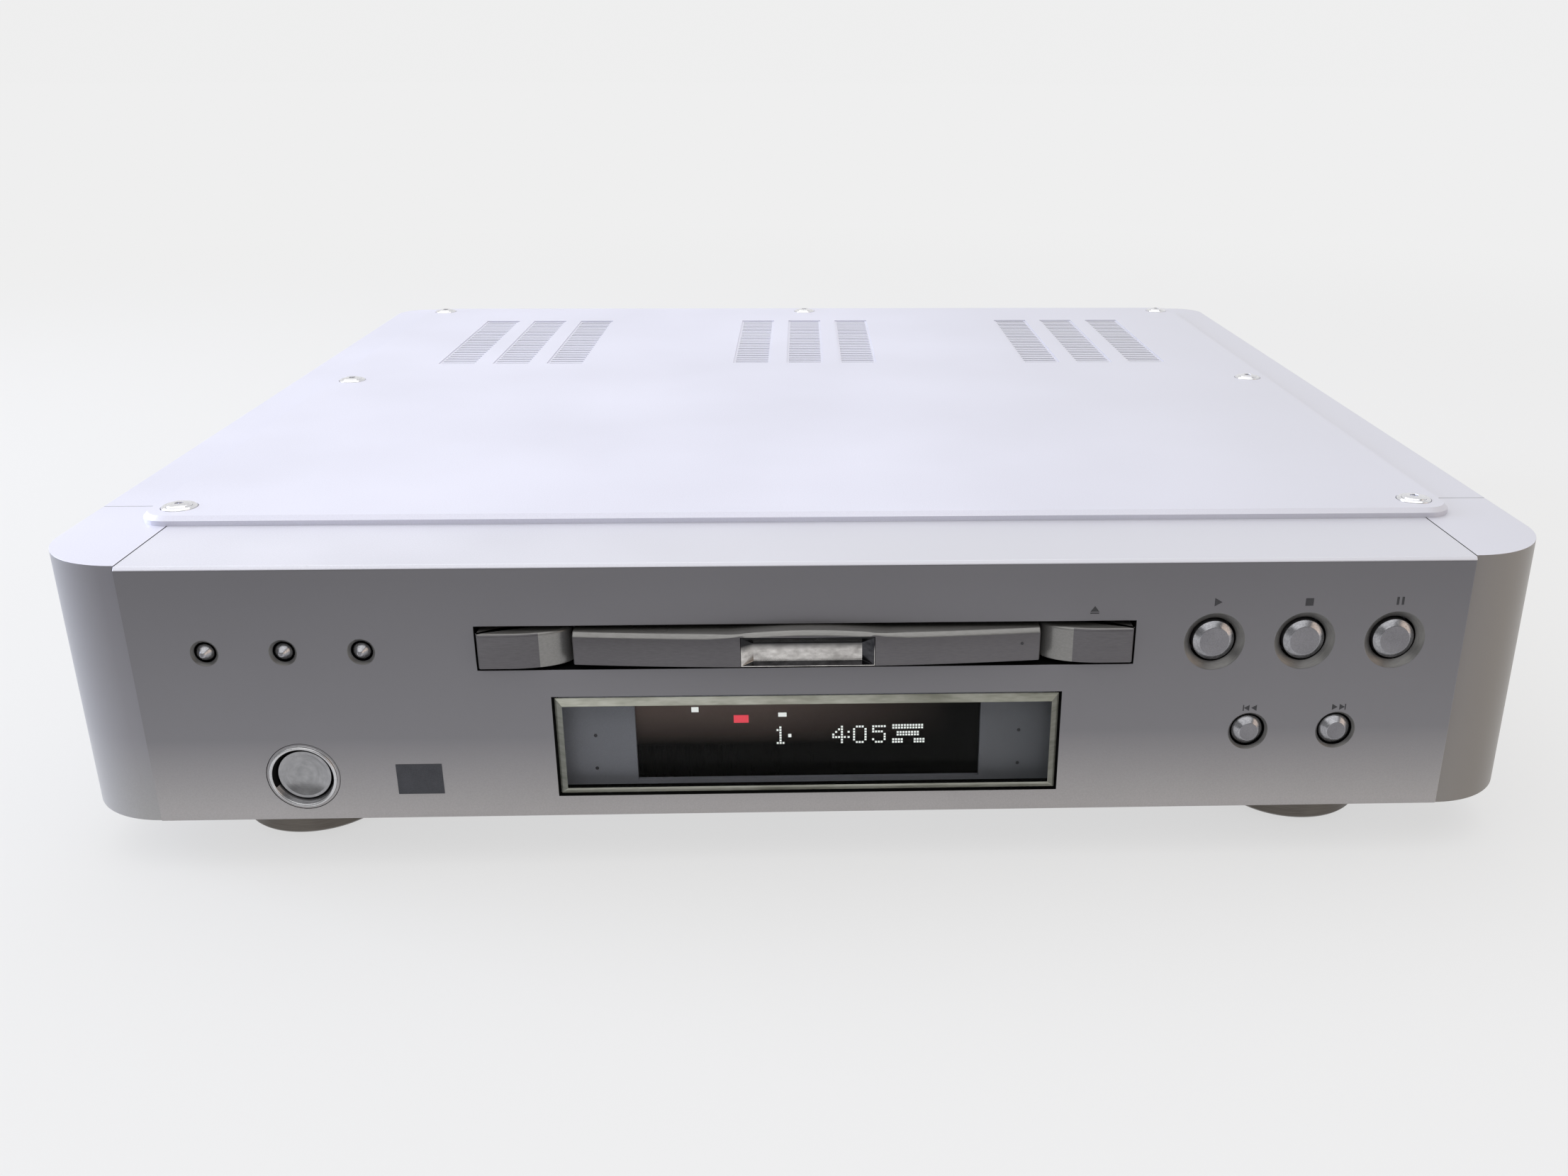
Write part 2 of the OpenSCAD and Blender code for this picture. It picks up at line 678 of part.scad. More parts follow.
module key_boards() color("#2f5d43") place() {
    block([-panel_x + 4, -88], [keys_y, keys_y + board_t], [3, panel_h - return_t - 6]);
    block([88, panel_x - 4], [keys_y, keys_y + board_t], [3, panel_h - return_t - 6]);
    block([-80, 80], [keys_y, keys_y + board_t], [3, 43]);
    push_switch(power_x, power_z);
    for (k = [-1:1]) {
        push_switch(transport_x + k * transport_pitch, transport_z);
        push_switch(mode_x + k * mode_pitch, mode_z);
    }
    for (k = [-1, 1]) {
        push_switch(skip_x + k * skip_pitch / 2, skip_z);
        push_switch(k * side_switch_x, button_z + button_h / 2);
        block([k > 0 ? 82 : -90, k > 0 ? 90 : -82], [keys_y, keys_y + board_t], [50, 62]);
    }
}

side_switch_x = (front_w / 2 + slot_total_w / 2) / 2;

// ---------------------------------------------------------------- tray

module disc_tray() color("#3a3b3f") place() difference() {
    union() {
        difference() {
            block([-tray_x, tray_x], [tray_y, tray_end], [tray_z, tray_top]);
            translate([0, disc_y, recess_z]) cylinder(r = disc_r, h = tray_h);
            translate([0, disc_y, recess_z - 0.7]) cylinder(r = 41, h = tray_h);
            block([-tray_x + 6, tray_x - 6], [disc_y + disc_r + 4, tray_end - 3], [recess_z, tray_top + eps]);
            block([rack_x - 2 * pinion_r - 2, rack_x + 2], [rack_start, tray_end + eps], under);
            block([-rack_x, -rack_x + 16], [rack_start, tray_end + eps], under);
            for (x = [-26, 0, 26])
                block([x - 12, x + 12], [tray_y + 14, disc_y - 26], [under[0], under[1] - 0.7]);
        }
        translate([rack_x, gear_y, tray_z]) linear_extrude(under[1] - tray_z)
            polygon(rack_outline(rack_count, 3));
    }
    block([-pickup_slot_w / 2, pickup_slot_w / 2], pickup_slot, [tray_z - eps, tray_top + eps]);
    block([-screw_pos - 7, screw_pos + 7], [pickup_slot[1] - eps, tray_end + eps], under);
    for (a = [-135, -45])
        translate([0, disc_y, 0]) rotate([0, 0, a])
            block([disc_r - 4, disc_r + 5], [-7, 7], [recess_z, tray_top + eps]);
}

// Levels of the hollows in the tray's underside, and the rack in the right-hand one
under = [tray_z - eps, recess_z - tray_floor];
rack_start = gear_y - pinion_r - 3;
rack_count = ceil(tray_travel / (PI * gear_m)) + 1;

// Front of the tray: a straight back and a front that bows out, with a swell over the insert
module tray_front() color("#87868b") place() difference() {
    union() {
        intersection() {
            block([-front_w / 2, front_w / 2], [-front_most - eps, front_back], [front_z, front_z + front_h]);
            translate([0, bulge_r - front_most, front_z - eps])
                cylinder(r = bulge_r, h = front_h + 2 * eps, $fn = 1440);
        }
        translate([0, swell_y[0], front_z + front_h]) rotate([-90, 0, 0])
            linear_extrude(swell_y[1] - swell_y[0])
                polygon([for (k = [-8:8]) [k * swell_w / 8, -swell_h * cos(k * 90 / 8)]]);
    }
    block([-insert_w / 2, insert_w / 2], [-front_most - eps, insert_back],
          [front_z - eps, insert_z + insert_h + insert_gap]);
}

// The swell over the insert: half its width, its height and its reach along y
swell_w = insert_w / 2 + 3;
swell_h = 1.2;
swell_y = [-front_most + 0.6, 3];

// The insert: the gap round it, its levels, and the planes of its frame, its dish and its back
insert_gap = 0.1;
insert_z = front_z + insert_gap;
insert_h = front_h - 1.1;
insert_y = -front_most + 0.5;
dish_y = insert_y + 2.4;
insert_back = dish_y + 1;

// How far the dish's sides, foot and top slope inwards from the thin rim
rim = 0.3;
dish_side = 3.8;
dish_foot = 0.9;
dish_top = 2.6;

// Bright insert: a framed dish in the recess of the tray's front
module tray_insert() color("#dcdce2") place() difference() {
    half = insert_w / 2;
    top = insert_z + insert_h;
    block([-half + insert_gap, half - insert_gap], [insert_y, insert_back], [insert_z, top]);
    intersection() {
        translate([0, 0, insert_z - eps]) linear_extrude(insert_h + 2 * eps) polygon([
            [-half + rim, insert_y - eps], [-half + rim, insert_y], [-half + dish_side, dish_y],
            [half - dish_side, dish_y], [half - rim, insert_y], [half - rim, insert_y - eps]
        ]);
        translate([-half, 0, 0]) rotate([90, 0, 90]) linear_extrude(insert_w) polygon([
            [insert_y - eps, insert_z + rim], [insert_y, insert_z + rim], [dish_y, insert_z + dish_foot],
            [dish_y, top - dish_top], [insert_y, top - rim], [insert_y - eps, top - rim]
        ]);
    }
}

// ---------------------------------------------------------------- loader

module loader_frame() color("#4a4b50") place() difference() {
    union() {
        for (s = [-1, 1]) {
            block([s > 0 ? frame_x - frame_wall : -frame_x, s > 0 ? frame_x : -frame_x + frame_wall],
                  frame_y, [deck_z, frame_top]);
            block([s > 0 ? tray_x - 3 : -frame_x, s > 0 ? frame_x : -tray_x + 3],
                  [frame_y[0], frame_y[1] - 8], [tray_z - slide_gap - 2, tray_z - slide_gap]);
            block([s > 0 ? tray_x - 3 : -frame_x, s > 0 ? frame_x : -tray_x + 3],
                  [frame_y[0], disc_y - 20], [tray_top + slide_gap, frame_top]);
            block([s > 0 ? tray_x - 3 : -frame_x, s > 0 ? frame_x : -tray_x + 3],
                  [disc_y + 70, frame_y[1]], [tray_top + slide_gap, frame_top]);
        }
        block([-frame_x, frame_x], frame_y, [deck_z, deck_top]);
        for (x = [-frame_x + 5, frame_x - 5], y = [frame_y[0] + 6, frame_y[1] - 6])
            translate([x, y, sheet_t]) cylinder(r = 5, h = deck_z - sheet_t);
        for (x = [-mech_x + 5, mech_x - 5], y = [mech_y[0] + 5, mech_y[1] - 5]) {
            translate([x, y, deck_top]) cylinder(r = 4.5, h = mech_z - deck_top);
            translate([x, y, mech_z]) cylinder(r = 2, h = mech_t + mech_lift + 1);
        }
        translate([gear_x, gear_y, deck_top]) {
            cylinder(r = 3.4, h = gear_z - deck_top - 0.2);
            cylinder(r = axle_r, h = rack_z + rack_h - deck_top - 0.4);
        }
        translate([pulley_x, gear_y, deck_top]) {
            cylinder(r = 3.4, h = pulley_z - deck_top - 0.2);
            cylinder(r = axle_r, h = gear_z + gear_t - deck_top);
        }
    }
    block([-18, 18], [disc_y - 14, mech_y[1] - 10], [deck_z - eps, deck_top + eps]);
    for (x = [-50, 50]) block([x - 8, x + 8], [disc_y, mech_y[1] - 10], [deck_z - eps, deck_top + eps]);
}

module gear_disc(teeth, h) linear_extrude(h) polygon(gear_outline(teeth));

// Compound gear: the pinion above drives the tray's rack, the wheel below is driven
module tray_gear() color("#e4e0d4") place() translate([gear_x, gear_y, 0]) difference() {
    union() {
        translate([0, 0, gear_z]) gear_disc(big_teeth, gear_t);
        translate([0, 0, gear_z + gear_t]) cylinder(r = 5, h = rack_z - gear_z - gear_t);
        translate([0, 0, rack_z]) rotate([0, 0, 180 / pinion_teeth]) gear_disc(pinion_teeth, rack_h);
    }
    translate([0, 0, gear_z - eps]) cylinder(r = axle_r + axle_gap, h = 20);
}

// Belt pulley with the small gear on top
module pulley_gear() color("#e4e0d4") place() translate([pulley_x, gear_y, 0]) difference() {
    union() {
        translate([0, 0, pulley_z]) rotate_extrude() polygon([
            [0, 0], [pulley_r + 1.5, 0], [pulley_r + 1.5, 0.6], [pulley_r, 1.2], [pulley_r, 2.8],
            [pulley_r + 1.5, 3.4], [pulley_r + 1.5, 4], [0, 4]
        ]);
        translate([0, 0, pulley_z + 4]) cylinder(r = 4.4, h = gear_z - pulley_z - 4);
        translate([0, 0, gear_z]) rotate([0, 0, 180 / small_teeth]) gear_disc(small_teeth, gear_t);
    }
    translate([0, 0, pulley_z - eps]) cylinder(r = axle_r + axle_gap, h = 20);
}

// Square rubber belt round both pulleys
module drive_belt() color("#1d1d1f") place()
    translate([0, gear_y, pulley_z + 1.4]) linear_extrude(1.2) difference() {
        belt_outline(belt_gap + belt_t);
        belt_outline(belt_gap);
    }

// Outline round both pulleys, at a distance from their grooves
module belt_outline(d) hull() {
    translate([pulley_x, 0]) circle(r = pulley_r + d, $fn = 48);
    translate([motor_x, 0]) circle(r = motor_pulley_r + d, $fn = 32);
}

module motor_pulley() color("#c8b070") place() translate([motor_x, gear_y, pulley_z]) difference() {
    rotate_extrude() polygon([
        [0, 0], [motor_pulley_r + 1.6, 0], [motor_pulley_r + 1.6, 0.6], [motor_pulley_r, 1.2],
        [motor_pulley_r, 2.8], [motor_pulley_r + 1.6, 3.4], [motor_pulley_r + 1.6, 4], [0, 4]
    ]);
    translate([0, 0, -eps]) cylinder(r = 1 + axle_gap, h = 6);
}

module loading_motor() color("#a9abb0") place() translate([motor_x, gear_y, deck_top]) {
    cylinder(r = 11, h = pulley_z - deck_top - 1.4);
    translate([0, 0, pulley_z - deck_top - 1.4]) cylinder(r = 3, h = 1);
    cylinder(r = 1, h = pulley_z - deck_top + 3.6);
}

// Pressed bridge over the tray, which holds the clamp over the disc's middle
module clamp_bridge() color("#9fa1a6") place() difference() {
    union() {
        block([-frame_x, frame_x], [disc_y - 17, disc_y + 17], [bridge_z, bridge_top]);
        for (x = [-frame_x - bridge_t, frame_x])
            block([x, x + bridge_t], [disc_y - 17, disc_y + 17], [bridge_z - 9, bridge_top]);
    }
    translate([0, disc_y, bridge_z - eps]) cylinder(r = 12, h = bridge_t + 2 * eps);
}

// Clamp that hangs in the bridge, hollow below so that it clears the lifted cone
module disc_clamp() color("#d5d3cc") place() translate([0, disc_y, 0]) rotate_extrude() polygon([
    [0, cone_lifted + 0.5], [cone_r + 0.6, cone_lifted + 0.5], [cone_r + 0.6, clamp_z], [14, clamp_z],
    [14, clamp_z + 1.2], [11.4, clamp_z + 1.6], [11.4, bridge_top + 0.3], [14.5, bridge_top + 0.3],
    [14.5, bridge_top + 1.8], [0, bridge_top + 1.8]
]);

// ---------------------------------------------------------------- pickup mechanism

module mechanism_plate() color("#a2a4a8") place() difference() {
    union() {
        block([-mech_x, mech_x], mech_y, [mech_z, mech_z + mech_t]);
        for (x = [rod_left, rod_right], y = [rod_span[0], rod_span[1] - 2])
            block([x - 4, x + 4], [y, y + 2], [mech_z, holder_top]);
        for (y = [rod_span[0] + 24, rod_span[1] - 2])
            block([screw_pos - 4, screw_pos + 4], [y, y + 2], [mech_z, holder_top]);
    }
    for (x = [-mech_x + 5, mech_x - 5], y = [mech_y[0] + 5, mech_y[1] - 5])
        translate([x, y, mech_z - eps]) cylinder(r = 2.4, h = mech_t + 2 * eps);
    for (x = [rod_left, rod_right])
        translate([x, 0, rod_z]) bar_y(rod_r, [rod_span[0] - eps, rod_span[1] + eps]);
    translate([screw_pos, 0, rod_z]) bar_y(screw_r + axle_gap, [rod_span[0], rod_span[1] + eps]);
    block([-16, 14], [disc_y + 16, rod_span[1] - 6], [mech_z - eps, mech_z + mech_t + eps]);
}

rod_span = [mech_y[0] + 8, mech_y[1] - 14];

module guide_rods() color("#d0d2d6") place()
    for (x = [rod_left, rod_right]) translate([x, 0, rod_z]) bar_y(rod_r, rod_span);

module spindle_motor() color("#8f9196") place() translate([0, disc_y, 0]) {
    translate([0, 0, mech_z + mech_t]) cylinder(r = spindle_r, h = 8);
    translate([0, 0, mech_z + mech_t + 8]) cylinder(r = 1, h = 6);
}

// Turntable with the cone that centres the disc
module turntable() color("#2a2b2e") place() translate([0, disc_y, 0]) difference() {
    rotate_extrude() polygon([
        [0, mech_z + mech_t + 8.4], [10, mech_z + mech_t + 8.4], [table_r, table_z - 2], [table_r, table_z],
        [cone_r, table_z], [cone_r - 0.2, table_z + 0.9], [cone_r - 1.8, table_z + cone_h],
        [0, table_z + cone_h]
    ]);
    translate([0, 0, mech_z + mech_t + 8]) cylinder(r = 1 + axle_gap, h = 6.4);
}

// Sled with bearings on both rods, notched round the spindle motor
module pickup_sled() color("#55575c") place() difference() {
    union() {
        block([-19, 19], [sled_y - 9, sled_y + 19], [rod_z - 3.6, rod_z + 6]);
        for (x = [rod_left, rod_right])
            block([x - 3.2, x + 3.2], [sled_y - 7, sled_y + 17], [rod_z - 3.6, holder_top]);
        block([rod_left, -10], [sled_y - 7, sled_y + 17], [rod_z - 3.6, holder_top]);
        block([rod_right, screw_pos - screw_r - 0.5], [sled_y, sled_y + follower_l], [rod_z - 3, holder_top]);
    }
    translate([0, disc_y, rod_z - 8]) cylinder(r = table_r + 0.8, h = 30);
    for (x = [rod_left, rod_right])
        translate([x, 0, rod_z]) bar_y(rod_r + axle_gap, [sled_y - 20, sled_y + 30]);
    translate([0, sled_y, rod_z + 3]) cylinder(r = 7, h = 10);
    block([-5, 5], [sled_y + 10, sled_y + 17], [rod_z + 3, rod_z + 10]);
}

module pickup_lens() color("#7d93b5") place() translate([0, sled_y, rod_z + 3]) {
    cylinder(r = 6.4, h = 3);
    translate([0, 0, 3]) cylinder(r = 3.2, h = 1.2);
    translate([0, 0, 4.2]) rotate_extrude() polygon([[0, 0], [2.6, 0], [2.2, 0.5], [1.2, 0.8], [0, 0.9]]);
}

// Feed screw between the sled's side and its motor
module feed_screw() color("#cfd0d3") place() translate([screw_pos, 0, rod_z]) {
    bar_y(screw_r, [rod_span[0] + 24, rod_span[1] + 0.2]);
    for (y = [sled_y - 8 : screw_pitch : sled_y + follower_l + sled_travel + 6]) translate([0, y, 0])
        turned_y([[0, 0], [screw_r, 0], [screw_r + 0.4, 0.5], [screw_r + 0.4, 1], [screw_r, 1.5], [0, 1.5]]);
}

module feed_motor() color("#8f9196") place() translate([screw_pos, 0, rod_z]) {
    bar_y(4.4, [rod_span[1] + 0.4, rod_span[1] + 13]);
    block([-4.4, 4.4], [rod_span[1] + 0.4, rod_span[1] + 13], [mech_z + mech_t - rod_z, -3]);
}

// ---------------------------------------------------------------- electronics

main_area = [[-70, 70], [250, rear_y - 6]];
audio_area = [[90, inner_x - 12], [150, rear_y - 6]];
power_area = [[-inner_x + 12, -90], [190, rear_y - 26]];

module circuit_board(area) block(area[0], area[1], [board_z, board_top]);

module chip(x, y, w, d, h) block([x, x + w], [y, y + d], [board_top, board_top + h]);

module main_board() color("#2f6a47") place() {
    circuit_board(main_area);
    chip(-50, 280, 28, 28, 2.4);
    chip(-8, 275, 20, 20, 2);
    chip(25, 285, 28, 14, 2.6);
    chip(-40, 330, 20, 11, 2.4);
    chip(0, 325, 16, 16, 1.8);
    chip(-60, 360, 60, 6, 8);
}

module audio_board() color("#2f6a47") place() {
    circuit_board(audio_area);
    for (n = [0:3]) chip(105 + n * 22, 300, 12, 8, 2.4);
    for (n = [0:2]) chip(110 + n * 26, 330, 9, 6, 3);
    chip(105, 250, 22, 14, 8);
}

module power_board() color("#8a6a3c") place() {
    circuit_board(power_area);
    chip(power_area[0][0] + 12, 330, 18, 10, 14);
    chip(power_area[0][0] + 40, 330, 34, 30, 24);
    chip(power_area[0][0] + 12, 250, 24, 12, 6);
}

module board_standoffs() color("#c9cacd") place()
    for (a = [main_area, audio_area, power_area], i = [0, 1], j = [0, 1])
        translate([a[0][i] + (i == 0 ? 5 : -5), a[1][j] + (j == 0 ? 5 : -5), sheet_t])
            cylinder(r = 3, h = board_z - sheet_t, $fn = 6);

// Ring-core transformer under a dished steel washer
module transformer() color("#b98a3a") place() translate([-inner_x + 56, 130, sheet_t]) {
    rotate_extrude() polygon([
        [12, 2], [14, 0], [36, 0], [40, 4], [40, 34], [36, 38], [14, 38], [12, 36]
    ]);
    cylinder(r = 9, h = 38);
    translate([0, 0, 38]) cylinder(r = 24, h = 2);
    translate([0, 0, 40]) cylinder(r = 5, h = 4, $fn = 6);
}

module capacitors() color("#2d3350") place() {
    for (n = [0:3]) translate([power_area[0][0] + 22 + n * 24, 290, board_top]) cylinder(r = 9, h = 32);
    for (n = [0:5]) translate([audio_area[0][0] + 12 + n * 16, 200, board_top]) cylinder(r = 6, h = 20);
}

module heat_sink() color("#9a9ca1") place() {
    x = power_area[0][0] + 14;
    block([x, x + 80], [215, 218], [board_top, board_top + 34]);
    for (n = [0:10]) block([x + n * 7.8, x + n * 7.8 + 1.6], [218, 232], [board_top, board_top + 34]);
}

// ---------------------------------------------------------------- rear sockets

// Three-pin mains inlet with a flange outside the panel
module mains_inlet() color("#1f2023") place() translate([inlet_x, rear_y + sheet_t, inlet_z]) {
    difference() {
        union() {
            block([-25, 25], [0, flange_out], [-11.5, 11.5]);
            block([-inlet_w / 2, inlet_w / 2], [-sheet_t - 20, 0], [-inlet_h / 2, inlet_h / 2]);
        }
        block([-12.1, 12.1], [-17, flange_out + eps], [-8, 8]);
        for (s = [-1, 1]) translate([s * 20, 0, 0]) bar_y(screw_hole, [-eps, flange_out + eps]);
    }
    for (p = [[-7, -2], [7, -2], [0, 4]]) block([p[0] - 1, p[0] + 1], [-18, -3], [p[1] - 2, p[1] + 2]);
}

// One phono jack at the origin, with its mouth towards +y
module phono_jack() {
    difference() {
        turned_y([[0, -10], [jack_r, -10], [jack_r, sheet_t], [5.4, sheet_t], [5.4, sheet_t + 1.4],
                  [4.1, sheet_t + 1.4], [4.1, sheet_t + 9.4], [0, sheet_t + 9.4]]);
        bar_y(3.3, [sheet_t + 1, sheet_t + 10]);
    }
    difference() {
        bar_y(2.6, [sheet_t + 1, sheet_t + 8.6]);
        bar_y(1.6, [sheet_t + 2, sheet_t + 9]);
    }
}

module rear_jacks() color("#c9b06a") place()
    for (k = jack_spots) translate([k[0], rear_y, k[1]]) phono_jack();

front_panel();
corner_post_left();
corner_post_right();
side_cheek_left();
side_cheek_right();
top_cover();
cover_screws();
bottom_plate();
rear_panel();
rear_screws();
foot_front_left();
foot_front_right();
foot_rear_left();
foot_rear_right();
foot_pads();
foot_screws();
display_window();
display_mask();
display_tube();
power_ring();
power_button();
play_button();
stop_button();
pause_button();
previous_button();
next_button();
mode_button_left();
mode_button_middle();
mode_button_right();
video_button();
open_close_button();
key_boards();
disc_tray();
tray_front();
tray_insert();
loader_frame();
tray_gear();
pulley_gear();
drive_belt();
motor_pulley();
loading_motor();
clamp_bridge();
disc_clamp();
mechanism_plate();
spindle_motor();
turntable();
guide_rods();
pickup_sled();
pickup_lens();
feed_screw();
feed_motor();
main_board();
audio_board();
power_board();
board_standoffs();
transformer();
capacitors();
heat_sink();
mains_inlet();
rear_jacks();
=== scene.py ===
# Full-width disc player with a loading tray: its looks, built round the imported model.
# Lengths in the dictionaries are millimetres from the middle of the front panel's lower edge:
# x to the right, y back from the panel's face, z up. toWorld turns them into the model's metres.
import json
import math
import bmesh
import bpy
import numpy as np
from mathutils import Matrix, Vector

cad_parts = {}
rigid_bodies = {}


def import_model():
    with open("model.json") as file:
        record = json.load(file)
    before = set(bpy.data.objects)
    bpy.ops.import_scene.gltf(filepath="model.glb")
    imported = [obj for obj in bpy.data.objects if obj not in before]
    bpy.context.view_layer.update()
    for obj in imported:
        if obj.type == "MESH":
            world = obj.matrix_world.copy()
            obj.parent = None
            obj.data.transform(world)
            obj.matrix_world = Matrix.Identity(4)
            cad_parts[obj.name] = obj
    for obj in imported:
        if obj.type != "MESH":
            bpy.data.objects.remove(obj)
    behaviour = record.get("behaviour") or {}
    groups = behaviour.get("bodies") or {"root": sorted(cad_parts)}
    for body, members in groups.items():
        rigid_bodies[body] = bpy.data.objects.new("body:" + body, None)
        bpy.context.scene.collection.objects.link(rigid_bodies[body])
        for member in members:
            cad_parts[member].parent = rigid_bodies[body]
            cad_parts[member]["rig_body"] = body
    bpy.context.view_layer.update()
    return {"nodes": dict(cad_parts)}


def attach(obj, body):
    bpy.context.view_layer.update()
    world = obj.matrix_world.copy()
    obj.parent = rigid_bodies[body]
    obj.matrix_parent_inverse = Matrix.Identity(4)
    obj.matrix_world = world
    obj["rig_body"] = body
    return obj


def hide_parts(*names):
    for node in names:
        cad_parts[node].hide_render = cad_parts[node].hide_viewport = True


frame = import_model()
nodes = frame["nodes"]
slotOf = {name: node.material_slots[0].name for name, node in nodes.items()}
for material in list(bpy.data.materials):
    bpy.data.materials.remove(material)
panelOrigin = np.array([0.0, -0.2194, 0.0175])
print("frame loaded:", len(nodes), "CAD nodes")


def toWorld(points):
    # Millimetres on the panel's axes to metres in the model: a thousandth, plus the panel's place
    return np.asarray(points, float) / 1000 + panelOrigin


def linear(hexCode):
    # sRGB hex to linear light: c/12.92 in the toe, ((c + 0.055)/1.055)^2.4 above it
    c = np.array([int(hexCode[k:k + 2], 16) for k in (1, 3, 5)]) / 255
    return (*np.where(c <= 0.04045, c / 12.92, ((c + 0.055) / 1.055) ** 2.4).tolist(), 1.0)


# Finishes

def addNode(tree, kind, settings=None, links=None):
    # One node: a name in small letters is a property, any other name or number is an input
    node = tree.nodes.new("ShaderNode" + kind)
    for name, value in (settings or {}).items():
        if isinstance(name, str) and name[0].islower():
            setattr(node, name, value)
        else:
            node.inputs[name].default_value = value
    for name, socket in (links or {}).items():
        tree.links.new(socket, node.inputs[name])
    return node


